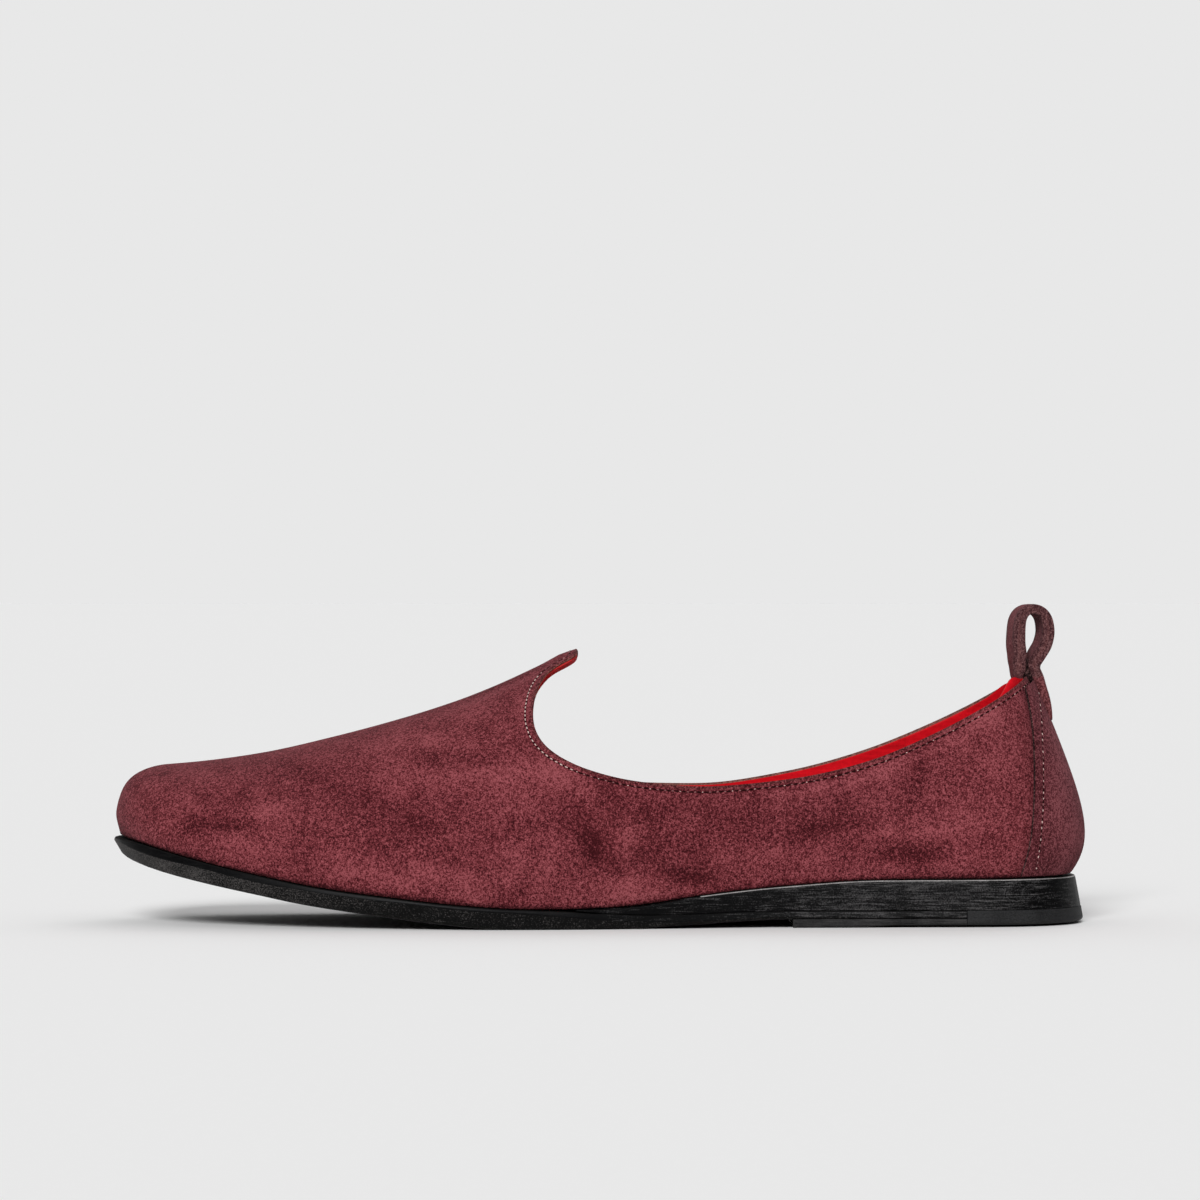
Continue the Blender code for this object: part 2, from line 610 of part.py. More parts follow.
def build_pull_loop():
    """Closed strip of doubled suede: legs either side of the collar, eye standing above it."""
    knots = np.array(loop_path())
    run = np.concatenate(([0], np.cumsum(np.hypot(*np.diff(knots[:, :2], axis=0).T))))
    places = np.linspace(0, run[-1], LOOP_RINGS)
    station, height, thickness = (smooth_curve(run, column)(places) for column in knots.T)
    path = np.column_stack((station, height))
    tangent = np.gradient(path, axis=0)
    tangent /= np.linalg.norm(tangent, axis=1)[:, None]
    toward_shoe = np.column_stack((-tangent[:, 1], tangent[:, 0]))
    widths = np.linspace(-1, 1, 5)
    corners = [(share, -1) for share in widths] + [(share, 1) for share in widths[::-1]]
    builder = bmesh.new()
    rings = []
    for point, normal, thick in zip(path, toward_shoe, thickness):
        climb = np.clip((point[1] - COLLAR["rows"][-1][1]) / TWIST_CLIMB, 0, 1)
        free = climb * climb * (3 - 2 * climb)
        twist = math.radians(LOOP_TWIST) * free
        ring = []
        for share, face in corners:
            s, z = point + normal * face * thick / 2
            x = share * LOOP_WIDTH / 2
            s -= LEG_CURVE * share ** 2 * (1 - free) + LOOP_STATION
            turned_x = x * math.cos(twist) - s * math.sin(twist)
            turned_s = x * math.sin(twist) + s * math.cos(twist)
            ring.append(builder.verts.new(shoe_point((turned_x, LOOP_STATION + turned_s, z))))
        rings.append(ring + ring[:1])
    join_rows(builder, rings)
    builder.faces.new(rings[0][:-1])
    builder.faces.new(rings[-1][:-1])
    return finish_object("pull_loop", builder, (0.100, 0.019, 0.028), 0.95)


# ---- sole pieces ------------------------------------------------------------------------------
def edge_line(side, stations, offset, height):
    """Points outside the feather line by offset(station), at height(station)."""
    line = []
    for station in stations:
        (x, s), (out_x, out_s) = OUTLINE[side].at(OUTLINE[side].along_at(station))
        gap = offset(station)
        x, s = x + out_x * gap, s + out_s * gap
        line.append((x, s, height(s)))
    return line


def spread(start, end, count):
    """Stations from start to end, closer together where the outline turns at toe and heel."""
    turn = np.linspace(0, 1, count + 1)
    stations = start + (end - start) * turn
    if start == 0.0:
        near = stations < TOE_ROUND
        stations[near] = TOE_ROUND * (stations[near] / TOE_ROUND) ** 2
    if end == LAST_LENGTH:
        reach = min(HEEL_ROUND, end - start)
        near = stations > end - reach
        left = (end - stations[near]) / reach
        stations[near] = end - reach * left ** 2
    return stations


def build_slab(name, stations, levels, colour, roughness):
    """Sole piece from level lines stacked bottom to top, each (offset, height) over stations."""
    builder = bmesh.new()
    loops = []
    for offset, height in levels:
        lateral = edge_line(LATERAL, stations, offset, height)
        medial = edge_line(MEDIAL, stations, offset, height)
        loops.append([[builder.verts.new(shoe_point(point)) for point in line]
                      for line in (lateral, medial)])
    for low, high in zip(loops, loops[1:]):
        for side in (0, 1):
            join_rows(builder, (low[side], high[side]))
        for end in (0, -1):
            if (low[0][end].co - low[1][end].co).length > 1e-6:
                builder.faces.new((low[0][end], low[1][end], high[1][end], high[0][end]))
    bmesh.ops.remove_doubles(builder, verts=builder.verts, dist=1e-7)
    builder.verts.ensure_lookup_table()
    for offset, height in (levels[0], levels[-1]):
        add_rungs(builder, stations, offset, height)
    return finish_object(name, builder, colour, roughness, 30.0)


def add_rungs(builder, stations, offset, height):
    """Top or bottom face, as quads that span from the lateral to the medial edge."""
    lines = [[builder.verts.new(shoe_point(point))
              for point in edge_line(side, stations, offset, height)]
             for side in (LATERAL, MEDIAL)]
    for k in range(len(stations) - 1):
        corners = [lines[0][k], lines[0][k + 1], lines[1][k + 1], lines[1][k]]
        if (corners[0].co - corners[3].co).length < 1e-6:
            corners.pop(3)
        if (corners[1].co - corners[2].co).length < 1e-6:
            corners.pop(2)
        builder.faces.new(corners)


def heel_flare(station, height):
    """Extra width of the heel at a height, most at the back and none ahead of the heel."""
    back = np.clip((station - HEEL_FLARE_START) / (LAST_LENGTH - HEEL_FLARE_START), 0, 1)
    return HEEL_FLARE * back * (1 - height / HEEL_HEIGHT)


BOTTOM = table_curve(SOLE, "bottom")
CORNER = table_curve(SOLE, "corner")
UNDER_WEDGE = table_curve(SOLE, "under_wedge")
UNDERCUT = table_curve(SOLE, "undercut")
EDGE = table_curve(SOLE, "edge")


def edge_at(height, inset=0.0):
    """Offset of a sole edge at one height of the heel, as a function of station."""
    return lambda station: EDGE(station) - inset + heel_flare(station, height)


def outsole_top(station):
    """Just under the upper ahead of the wedge, and skived to carry the wedge behind that."""
    return float(min(FEATHER(station) - FIT, UNDER_WEDGE(station)))


def build_outsole():
    """Leather outsole, toe to rubber, with its edge slanted in underneath at the forefoot."""
    stations = spread(0.0, RUBBER_START - FIT, 62)
    levels = []
    for climb, cut in UNDERCUT_SHAPE:
        levels.append((
            lambda s, cut=cut: EDGE(s) - cut * UNDERCUT(s) + heel_flare(s, CORNER(s)),
            lambda s, climb=climb: BOTTOM(s) + climb * (CORNER(s) - BOTTOM(s)),
        ))
    levels.append((lambda s: EDGE(s) - 0.25 + heel_flare(s, RUBBER_TOP), outsole_top))
    return build_slab("outsole", stations, levels, (0.020, 0.020, 0.021), 0.55)


def build_heel_wedge():
    """Stacked leather between outsole and upper, from the waist to the back of the heel."""
    stations = spread(WEDGE_START, LAST_LENGTH, 40)

    def low(station):
        return UNDER_WEDGE(station) + FIT

    def high(station):
        return max(FEATHER(station) - FIT, low(station) + WEDGE_CLEAR)

    levels = (
        (edge_at(RUBBER_TOP), low),
        (edge_at(HEEL_HEIGHT), lambda s: high(s) - WEDGE_RIM * (high(s) - low(s))),
        (edge_at(HEEL_HEIGHT, inset=0.3), high),
    )
    return build_slab("heel_wedge", stations, levels, (0.012, 0.012, 0.013), 0.30)


def lift_bottom(station):
    """Level from the breast, then lifted a little toward the back."""
    back = np.clip((station - LIFT_FLAT) / LIFT_BLEND, 0, 1)
    return LIFT_RISE * back * back * (3 - 2 * back)


def build_top_lift():
    """Leather top lift under the front of the heel: the part that meets the floor."""
    stations = np.linspace(BREAST, RUBBER_START - FIT, 15)
    top = BOTTOM(LAST_LENGTH) - FIT
    levels = (
        (edge_at(0.0, 0.5), lift_bottom),
        (edge_at(0.5), lambda s: lift_bottom(s) + 0.5),
        (edge_at(top), lambda s: top),
    )
    return build_slab("top_lift", stations, levels, (0.016, 0.016, 0.017), 0.45)


def build_heel_rubber():
    """Rubber quarter let into the back of the heel."""
    stations = spread(RUBBER_START, LAST_LENGTH, 16)
    levels = (
        (edge_at(0.0, 0.9), lift_bottom),
        (edge_at(0.6, 0.2), lambda s: lift_bottom(s) + 0.4),
        (edge_at(1.0), lambda s: lift_bottom(s) + 1.1),
        (edge_at(RUBBER_TOP), lambda s: RUBBER_TOP),
    )
    return build_slab("heel_rubber", stations, levels, (0.025, 0.025, 0.027), 0.60)


def build_insole():
    """Insole board with its sock lining, inside the foot of the upper."""
    stations = spread(0.0, LAST_LENGTH, 44)
    inset = WALL + 2 * FIT
    levels = (
        (lambda s: -inset, FEATHER),
        (lambda s: -inset, lambda s: FEATHER(s) + INSOLE_THICKNESS),
    )
    return build_slab("insole", stations, levels, (0.45, 0.012, 0.018), 0.70)


# ---- build ------------------------------------------------------------------------------------
for old in list(bpy.data.objects):
    bpy.data.objects.remove(old, do_unlink=True)

build_upper()
build_heel_tab()
build_pull_loop()
build_insole()
build_outsole()
build_heel_wedge()
build_top_lift()
build_heel_rubber()
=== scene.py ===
import math

import bmesh
import bpy
import numpy as np
from mathutils import Matrix, Vector
from mathutils.bvhtree import BVHTree
from mathutils.kdtree import KDTree


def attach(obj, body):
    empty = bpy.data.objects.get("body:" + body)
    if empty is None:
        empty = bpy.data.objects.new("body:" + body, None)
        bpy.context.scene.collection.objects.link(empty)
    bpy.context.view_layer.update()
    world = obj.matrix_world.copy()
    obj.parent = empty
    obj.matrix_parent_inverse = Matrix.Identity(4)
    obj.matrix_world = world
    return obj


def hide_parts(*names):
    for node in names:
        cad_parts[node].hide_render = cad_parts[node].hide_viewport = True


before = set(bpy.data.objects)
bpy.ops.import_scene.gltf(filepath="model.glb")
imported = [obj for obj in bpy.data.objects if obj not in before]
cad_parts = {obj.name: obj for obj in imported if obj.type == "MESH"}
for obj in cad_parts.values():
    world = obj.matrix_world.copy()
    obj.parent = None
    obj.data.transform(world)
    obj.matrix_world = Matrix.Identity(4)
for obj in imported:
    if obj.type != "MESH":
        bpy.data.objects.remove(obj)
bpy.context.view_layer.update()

MM = 0.001

# ---- studio -----------------------------------------------------------------------------------
# A pale floor that runs out of sight, a dome that is bright overhead and behind and dim in front,
# a key light low on the near side, a faint one behind, and a long lens level with the top of the
# shoe.
studio = bpy.context.scene
studio.view_settings.view_transform = "Standard"

LENS = 171.4                                   # mm
EYE = (1.7000, 0.0001, 0.0956)                 # m, square to the shoe's outer side
FLOOR_REACH = 150                              # m
BACKDROP = (0.807, 0.807, 0.807, 1)
LAMPS = dict(                                  # sun lamps: strength, spread in degrees, direction
    key_light=(2.8, 20, (0.87, -0.12, 0.46)),
    back_light=(0.35, 40, (-0.60, 0.25, 0.65)))

camera = bpy.data.objects.new("camera", bpy.data.cameras.new("camera"))
camera.data.lens = LENS
camera.data.clip_start, camera.data.clip_end = 0.05, 400
camera.location = EYE
camera.rotation_euler = (math.radians(90), 0, math.radians(90))
studio.collection.objects.link(camera)
studio.camera = camera

for name, (power, spread, toward) in LAMPS.items():
    lamp = bpy.data.objects.new(name, bpy.data.lights.new(name, "SUN"))
    lamp.data.energy = power
    lamp.data.angle = math.radians(spread)
    lamp.rotation_euler = Vector(toward).to_track_quat("Z", "Y").to_euler()
    studio.collection.objects.link(lamp)


def add(tree, kind, settings=None, sockets=None):
    """A shader node with its settings made and its sockets filled or linked."""
    node = tree.nodes.new("ShaderNode" + kind)
    for name, value in (settings or {}).items():
        setattr(node, name, value)
    for name, value in (sockets or {}).items():
        if isinstance(value, bpy.types.NodeSocket):
            tree.links.new(value, node.inputs[name])
        else:
            node.inputs[name].default_value = value
    return node


def ramp(tree, value, start, end, first, last):
    """Goes smoothly from first to last while the value goes from start to end."""
    return add(tree, "MapRange", {"interpolation_type": "SMOOTHSTEP"},
               {0: value, "From Min": start, "From Max": end, "To Min": first,
                "To Max": last}).outputs[0]


dome = bpy.data.worlds.new("dome")
dome.use_nodes = True
studio.world = dome
tree = dome.node_tree
tree.nodes.clear()
direction = add(tree, "TexCoord").outputs["Generated"]
parts = add(tree, "SeparateXYZ", sockets={0: direction}).outputs
overhead = ramp(tree, parts["Z"], 0.0, 0.75, 0.04, 0.38)
behind = ramp(tree, parts["X"], -0.9, -0.3, 0.55, 0.0)
total = add(tree, "Math", {"operation": "ADD"}, {0: overhead, 1: behind})
lit = add(tree, "Background", sockets={"Color": (1, 1, 1, 1), "Strength": total.outputs[0]})
seen = add(tree, "Background", sockets={"Color": BACKDROP, "Strength": 1.0})
eye = add(tree, "LightPath").outputs["Is Camera Ray"]
both = add(tree, "MixShader", sockets={0: eye, 1: lit.outputs[0], 2: seen.outputs[0]})
add(tree, "OutputWorld", sockets={"Surface": both.outputs[0]})


def finish(name, fill, **shader_values):
    """A new material. Fixed values go on the shader; fill(tree, shader) adds what varies."""
    made = bpy.data.materials.new(name)
    made.use_nodes = True
    tree = made.node_tree
    tree.nodes.clear()
    shader = add(tree, "BsdfPrincipled", sockets=shader_values)
    add(tree, "OutputMaterial", sockets={"Surface": shader.outputs[0]})
    fill(tree, shader)
    return made


def noise(tree, place, size, detail=2.0, roughness=0.5):
    """Even noise about nought, its lumps this many millimetres across."""
    made = add(tree, "TexNoise", sockets={"Vector": place, "Scale": 1 / (size * MM),
                                          "Detail": detail, "Roughness": roughness})
    return add(tree, "Math", {"operation": "SUBTRACT"}, {0: made.outputs[0], 1: 0.5}).outputs[0]


def paper_floor(tree, shader):
    place = add(tree, "TexCoord").outputs["Object"]
    tone = add(tree, "MapRange", sockets={0: noise(tree, place, 3.0), "From Min": -0.5,
                                          "To Min": 0.898, "To Max": 0.918})
    tree.links.new(tone.outputs[0], shader.inputs["Base Color"])


sheet = bmesh.new()
bmesh.ops.create_grid(sheet, x_segments=8, y_segments=8, size=FLOOR_REACH)
floor = bpy.data.objects.new("floor", bpy.data.meshes.new("floor"))
sheet.to_mesh(floor.data)
floor.data.materials.append(finish("floor_paper", paper_floor,
                                   **{"Roughness": 0.9, "Specular IOR Level": 0.0}))
studio.collection.objects.link(floor)


# ---- suede upper ------------------------------------------------------------------------------
# Whole-cut burgundy suede, drawn over the last and closed at the heel. It is skived thin toward
# the top line, turned in over the lining and stitched. The pile lies unevenly, and the flank
# puckers at the waist.
def cad_skin(node):
    """A CAD piece's own mesh as a bmesh of quads, its doubles merged."""
    skin = bmesh.new()
    skin.from_mesh(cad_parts[node].data)
    bmesh.ops.remove_doubles(skin, verts=skin.verts, dist=1e-6)
    bmesh.ops.join_triangles(skin, faces=skin.faces, angle_face_threshold=math.radians(60),
                             angle_shape_threshold=math.pi, topology_influence=1.3)
    return skin


OUTSIDE, INSIDE, LASTED, TURNED = range(4)
SAME_WALL = math.radians(50)                   # faces bent less than this belong to one wall


def mark_walls(skin):
    """Marks the faces of the upper: outside, inside, lasted edge below, turned top edge."""
    left = set(skin.faces)
    walls = []
    while left:
        wall, reached = [], [left.pop()]
        while reached:
            face = reached.pop()
            wall.append(face)
            for edge in face.edges:
                if edge.calc_face_angle(math.pi) < SAME_WALL:
                    near = [other for other in edge.link_faces if other in left]
                    left.difference_update(near)
                    reached += near
        walls.append(wall)
    walls.sort(key=lambda wall: -sum(face.calc_area() for face in wall))
    for mark, wall in enumerate(walls[:4]):
        for face in wall:
            face.material_index = mark
    for wall in walls[4:]:
        beside = [0.0] * 4
        for face in wall:
            for edge in face.edges:
                for other in edge.link_faces:
                    if other not in wall:
                        beside[other.material_index] += edge.calc_length()
        spans = min(beside[OUTSIDE], beside[INSIDE]) > 0.5 * max(beside[OUTSIDE], beside[INSIDE])
        for face in wall:
            face.material_index = TURNED if spans else beside.index(max(beside))


def border(skin, first, second):
    """Edges between two kinds of wall."""
    return [edge for edge in skin.edges
            if {face.material_index for face in edge.link_faces} == {first, second}]


def round_off(skin, edges, width, clamp=True):
    """Rounds the edges over this width and gives back the new faces."""
    return bmesh.ops.bevel(skin, geom=edges, offset=width, offset_type="OFFSET", segments=2,
                           profile=0.5, affect="EDGES", material=-1,
                           clamp_overlap=clamp)["faces"]


def subdivided(skin, name, levels):
    """A bmesh of the skin after Catmull-Clark subdivision."""
    rough = bpy.data.objects.new(name, bpy.data.meshes.new(name))
    skin.to_mesh(rough.data)
    studio.collection.objects.link(rough)
    surface = rough.modifiers.new("rounding", "SUBSURF")
    surface.levels = surface.render_levels = levels
    made = rough.evaluated_get(bpy.context.evaluated_depsgraph_get()).to_mesh()
    fine = bmesh.new()
    fine.from_mesh(made)
    mesh = rough.data
    bpy.data.objects.remove(rough)
    bpy.data.meshes.remove(mesh)
    return fine


def put_together(name, skin, materials, node=None, smooth=True):
    """An object from a bmesh, riding on the shoe and standing for its CAD piece."""
    mesh = bpy.data.meshes.new(name)
    skin.to_mesh(mesh)
    if smooth:
        mesh.shade_smooth()
    for material in materials:
        mesh.materials.append(material)
    piece = bpy.data.objects.new(name, mesh)
    studio.collection.objects.link(piece)
    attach(piece, "root")
    if node:
        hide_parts(node)
    return piece


# Soft relief on the flanks: middle, half length, half width and depth in mm, ridges negative.
RELIEF = dict(
    columns=("y", "z", "half_length", "half_width", "turn", "depth"),
    rows=(
        (-1.5, 24.0, 6.5, 4.2, -62, 1.20),     # deep hollow at the waist
        (-15.0, 29.5, 11.0, 4.0, 4, 0.45),
        (8.0, 27.0, 5.0, 2.4, 85, -0.40),
        (17.0, 28.0, 6.5, 3.4, -65, 0.50),
        (13.5, 21.5, 4.5, 3.0, 30, 0.45),
        (25.0, 15.5, 11.0, 2.4, -14, 1.15),    # fold over the front of the wedge
        (14.0, 10.8, 10.0, 2.2, 9, -0.70),
        (36.0, 20.5, 5.0, 3.0, 10, -0.30),
        (7.5, 9.0, 3.0, 0.9, 70, 0.60),        # short pleats at the feather line
        (-8.0, 11.0, 4.0, 1.6, 80, 0.30),
        (-22.5, 12.0, 5.0, 2.2, 95, 0.50),
        (-28.0, 10.5, 4.0, 1.3, 80, 0.35),
        (-35.0, 22.0, 7.0, 2.2, 80, 0.30),
        (-53.5, 17.0, 2.5, 1.5, 90, 0.25),
        (89.0, 21.5, 10.0, 3.2, 2, 0.90),      # hollow above the heel seat
        (104.0, 17.8, 7.0, 2.0, 4, -0.40),
        (65.0, 29.0, 12.0, 3.4, 6, 0.40),
        (37.0, 31.0, 9.0, 4.0, -3, 0.35),
        (94.5, 47.0, 4.0, 2.6, 80, 0.35),
        (-110.0, 30.2, 11.0, 2.0, 0, 0.35),    # dents in the toe
        (-107.0, 25.5, 6.0, 2.8, 0, -0.20),
        (-117.0, 37.0, 7.0, 1.6, 62, -0.22),
        (-105.0, 38.5, 8.0, 2.0, 58, 0.22),
        (-76.0, 40.0, 7.0, 2.0, -12, 0.20),
        (-58.0, 32.0, 12.0, 5.0, -15, 0.45),
        (-38.0, 52.0, 3.0, 12.0, 8, 0.20),
        (-31.0, 69.0, 15.0, 0.9, 23, 0.35),    # faint crease beside the ridge
    ))

# Where the pile lies light (above nought) or dark (below it), in mm on the flank. Rows on the
# relief's hollows, folds and dents are painted shade, and rows on its ridges are painted
# highlight; the rest is the lie of the pile.
PILE_AND_SHADE = dict(
    columns=("y", "z", "half_length", "half_height", "turn", "lay_and_shade"),
    rows=(
        (-137.0, 40.5, 2.5, 2.0, 0, -0.35),
        (-129.0, 44.0, 3.0, 1.8, 20, -0.35),
        (-131.0, 40.5, 4.0, 2.2, 0, 0.30),
        (-118.0, 42.5, 3.0, 1.8, 0, 0.30),
        (-118.5, 35.5, 4.0, 1.8, -40, 0.50),
        (-116.0, 38.5, 3.0, 2.0, 0, -0.30),
        # painted shade in the dent in the toe
        (-110.0, 30.3, 11.0, 2.0, -2, -0.75),
        (-120.0, 28.5, 4.0, 2.0, 20, -0.35),
        (-99.5, 28.0, 3.0, 2.5, -50, -0.40),
        (-107.0, 25.3, 5.0, 2.6, 0, 0.45),
        (-105.0, 38.0, 6.0, 4.5, 55, -0.30),
        (-96.5, 34.0, 5.5, 3.0, 0, 0.65),
        (-88.0, 46.5, 3.5, 1.8, -20, -0.35),
        (-83.0, 44.0, 5.0, 2.2, 0, -0.25),
        (-76.5, 40.5, 3.5, 1.8, -15, -0.45),
        (-68.0, 38.5, 5.0, 2.2, -15, -0.35),
        (-82.0, 33.5, 6.0, 3.5, 0, 0.25),
        (-74.5, 22.5, 2.5, 3.5, 0, 0.30),
        (-82.5, 21.0, 4.0, 1.6, 0, 0.25),
        (-72.5, 16.5, 4.5, 2.2, 0, 0.60),
        (-66.0, 16.5, 2.5, 3.0, 0, 0.35),
        (-66.0, 26.5, 6.0, 4.0, 0, -0.25),
        (-58.5, 14.0, 7.0, 2.0, -6, 0.60),
        (-48.5, 16.5, 5.0, 2.4, 10, 0.55),
        (-56.0, 32.5, 11.0, 4.5, -15, -0.50),
        (-58.0, 25.0, 5.0, 2.6, 0, -0.45),
        (-50.0, 29.0, 8.0, 4.0, 0, -0.30),
        (-58.0, 53.8, 2.6, 2.0, 0, 0.35),
        (-57.5, 40.2, 3.0, 2.0, 0, 0.30),
        (-48.5, 55.0, 5.0, 2.2, 12, 0.70),
        (-48.0, 48.5, 5.5, 2.6, -10, -0.45),
        (-49.0, 43.0, 4.0, 3.0, 0, 0.30),
        (-38.0, 45.0, 7.0, 2.2, 8, 0.65),
        (-36.5, 49.3, 3.0, 1.8, 0, -0.40),
        (-38.0, 54.5, 4.0, 2.0, 0, 0.40),
        (-37.0, 62.5, 4.0, 1.6, 20, 0.35),
        (-28.0, 66.0, 4.0, 3.0, 25, -0.20),
        (-33.0, 57.0, 4.0, 2.4, 0, -0.20),
        (-30.0, 52.5, 5.0, 1.8, 0, -0.20),
        (-22.5, 64.5, 2.6, 4.0, 0, 0.45),
        (-30.0, 70.4, 15.0, 0.8, 23, -0.45),
        (-34.0, 66.8, 13.0, 1.3, 22, 0.40),
        (-25.0, 44.5, 7.0, 4.5, 0, 0.55),
        (-15.0, 45.5, 7.0, 3.4, -8, 0.60),
        (-7.0, 42.5, 5.0, 2.4, -25, 0.30),
        (-46.0, 22.0, 6.0, 3.0, 0, -0.30),
        (-44.0, 36.0, 9.0, 5.0, 0, -0.30),
        (-36.5, 9.0, 5.0, 1.6, -4, 0.50),
        (-40.0, 15.0, 5.0, 1.8, -6, 0.45),
        (-35.0, 23.5, 2.8, 6.5, 0, -0.35),
        (-22.0, 29.5, 9.0, 4.0, 4, -0.45),
        (-8.0, 32.0, 6.0, 3.4, 0, -0.30),
        (-22.5, 11.8, 3.4, 3.8, 0, -0.45),
        (-28.5, 10.5, 1.6, 2.6, 0, -0.30),
        (-24.0, 19.0, 2.6, 3.0, 0, 0.35),
        (-14.5, 19.0, 3.4, 3.2, 0, 0.35),
        # painted shade in the deep hollow at the waist
        (-2.0, 24.0, 6.5, 4.2, -62, -1.15),
        (4.5, 17.5, 4.0, 2.4, -30, -0.50),
        (8.0, 27.0, 2.4, 4.2, 0, 0.45),
        (11.0, 34.5, 9.0, 3.6, 0, -0.35),
        (17.5, 27.0, 3.0, 6.5, 15, -0.45),
        (13.0, 21.5, 4.0, 2.8, 30, -0.40),
        (26.0, 23.0, 5.0, 4.0, 0, -0.20),
        (28.0, 32.0, 1.8, 2.6, 0, 0.20),
        (37.5, 31.5, 9.0, 3.8, -3, -0.45),
        (34.5, 21.0, 4.0, 2.8, 0, 0.35),
        (44.0, 22.0, 4.5, 2.2, 0, 0.25),
        # painted shade under the fold over the front of the wedge
        (26.0, 15.5, 10.0, 2.2, -10, -0.85),
        (8.5, 13.0, 3.0, 2.2, 0, 0.45),
        # painted highlight on the lip of suede bulging over the sole
        (14.0, 10.0, 9.0, 1.9, 6, 0.60),
        (-7.0, 9.0, 3.0, 1.6, 0, 0.25),
        (52.5, 38.7, 4.0, 1.3, 4, 0.65),
        (64.0, 40.8, 5.0, 1.6, 8, 0.75),
        (75.0, 42.5, 5.0, 1.3, 18, 0.55),
        (82.0, 45.0, 3.6, 2.0, 0, 0.80),
        (87.0, 48.0, 2.4, 1.5, 20, 0.50),
        (58.5, 28.0, 4.5, 2.6, 0, -0.55),
        (69.0, 30.3, 9.0, 2.6, 8, -0.55),
        (71.0, 35.5, 6.0, 3.4, 0, -0.20),
        (52.5, 21.5, 4.5, 2.0, 0, 0.40),
        (64.5, 21.8, 3.0, 2.0, 0, 0.45),
        (84.0, 28.5, 1.8, 3.4, 20, 0.35),
        (94.5, 47.5, 2.6, 4.0, 0, -0.50),
        (90.0, 41.0, 5.0, 5.0, 0, -0.25),
        (88.5, 34.5, 6.0, 3.6, 0, -0.25),
        (102.0, 53.5, 4.0, 1.8, 20, 0.35),
        (114.0, 61.3, 5.0, 2.0, 18, 0.80),
        (110.5, 54.5, 2.4, 2.6, 0, -0.30),
        (111.0, 39.5, 2.8, 2.4, 0, -0.30),
        (106.0, 33.0, 5.5, 2.4, -8, 0.35),
        (96.0, 28.0, 6.0, 1.8, 0, 0.25),
        (113.0, 26.0, 5.0, 2.4, -12, -0.40),
        # painted shade in the hollow above the heel seat
        (89.5, 21.5, 10.0, 3.2, 2, -1.05),
        (68.0, 24.0, 9.0, 5.0, 0, -0.20),
        (104.0, 17.8, 6.0, 1.7, 3, 0.30),
        (121.5, 23.0, 1.6, 2.8, 0, 0.25),
        (122.5, 51.0, 1.4, 4.0, 0, 0.40),
    ))
FAR_SIDE_SHIFT = 16.0      # the same kinds of mark lie this much further back on the far side


def marks_at(table, points, toward, far_shift=FAR_SIDE_SHIFT):
    """The table's last column summed over the points, on the near side and the far one."""
    total = np.zeros(len(points))
    for side, shift, share in ((1, 0.0, 1.0), (-1, far_shift, 0.8)):
        facing = np.clip(0.5 + 2.5 * side * toward, 0, 1)
        for y, z, half_length, half_height, turn, amount in table["rows"]:
            across = points[:, 1] / MM - y - shift
            up = points[:, 2] / MM - z
            cos, sin = math.cos(math.radians(turn)), math.sin(math.radians(turn))
            along = (across * cos + up * sin) / half_length
            over = (up * cos - across * sin) / half_height
            total += share * facing * amount * np.exp(-along ** 2 - over ** 2)
    return total


def shape_flanks(skin):
    """Presses the relief into the outer wall."""
    skin.normal_update()
    points = np.array([vert.co for vert in skin.verts])
    normals = np.array([vert.normal for vert in skin.verts])
    depth = marks_at(RELIEF, points, normals[:, 0])
    for vert, place in zip(skin.verts, points - normals * depth[:, None] * MM):
        vert.co = place


def run_along(line):
    """How far along the line each of its points lies."""
    return np.concatenate(([0], np.cumsum(np.linalg.norm(np.diff(line, axis=0), axis=1))))


def loop_points(edges, spacing):
    """Evenly spaced points round a closed loop of edges."""
    links = {}
    for edge in edges:
        for vert in edge.verts:
            links.setdefault(vert, []).append(edge)
    start = max(links, key=lambda vert: vert.co.y)
    vert, edge, line = start, links[start][0], [start.co.copy()]
    while True:
        vert = edge.other_vert(vert)
        if vert is start:
            break
        line.append(vert.co.copy())
        edge = next(other for other in links[vert] if other is not edge)
    line = np.array(line + [line[0]])
    run = run_along(line)
    places = np.linspace(0, run[-1], int(round(run[-1] / spacing)), endpoint=False)
    return np.column_stack([np.interp(places, run, column) for column in line.T])


def tree_of(points):
    """A KD-tree of the points, to measure from them."""
    tree = KDTree(len(points))
    for k, point in enumerate(points):
        tree.insert(point, k)
    tree.balance()
    return tree


def wall_of(skin, mark):
    """A copy of one wall alone."""
    part = skin.copy()
    bmesh.ops.delete(part, geom=[face for face in part.faces if face.material_index != mark],
                     context="FACES")
    part.normal_update()
    return part


SKIVED, FULL_THICK, SKIVE_REACH = 0.8 * MM, 2.1 * MM, 14 * MM


def thickness_at(place):
    """Suede full thick over the flank, skived thin toward the turned top line."""
    share = min(max(cad_edge.find(place)[2] / SKIVE_REACH, 0), 1)
    return SKIVED + (FULL_THICK - SKIVED) * share * share * (3 - 2 * share)


def set_inward(skin, extra=0.0):
    """Keeps for each vertex of an outer wall how far and which way its inner twin lies."""
    inward = skin.verts.layers.float_vector.new("inward")
    for vert in skin.verts:
        vert[inward] = -vert.normal * (thickness_at(vert.co) + extra)
    return inward


upper_cad = cad_skin("upper")
mark_walls(upper_cad)
outer = subdivided(wall_of(upper_cad, OUTSIDE), "outer_wall", 2)
shape_flanks(outer)
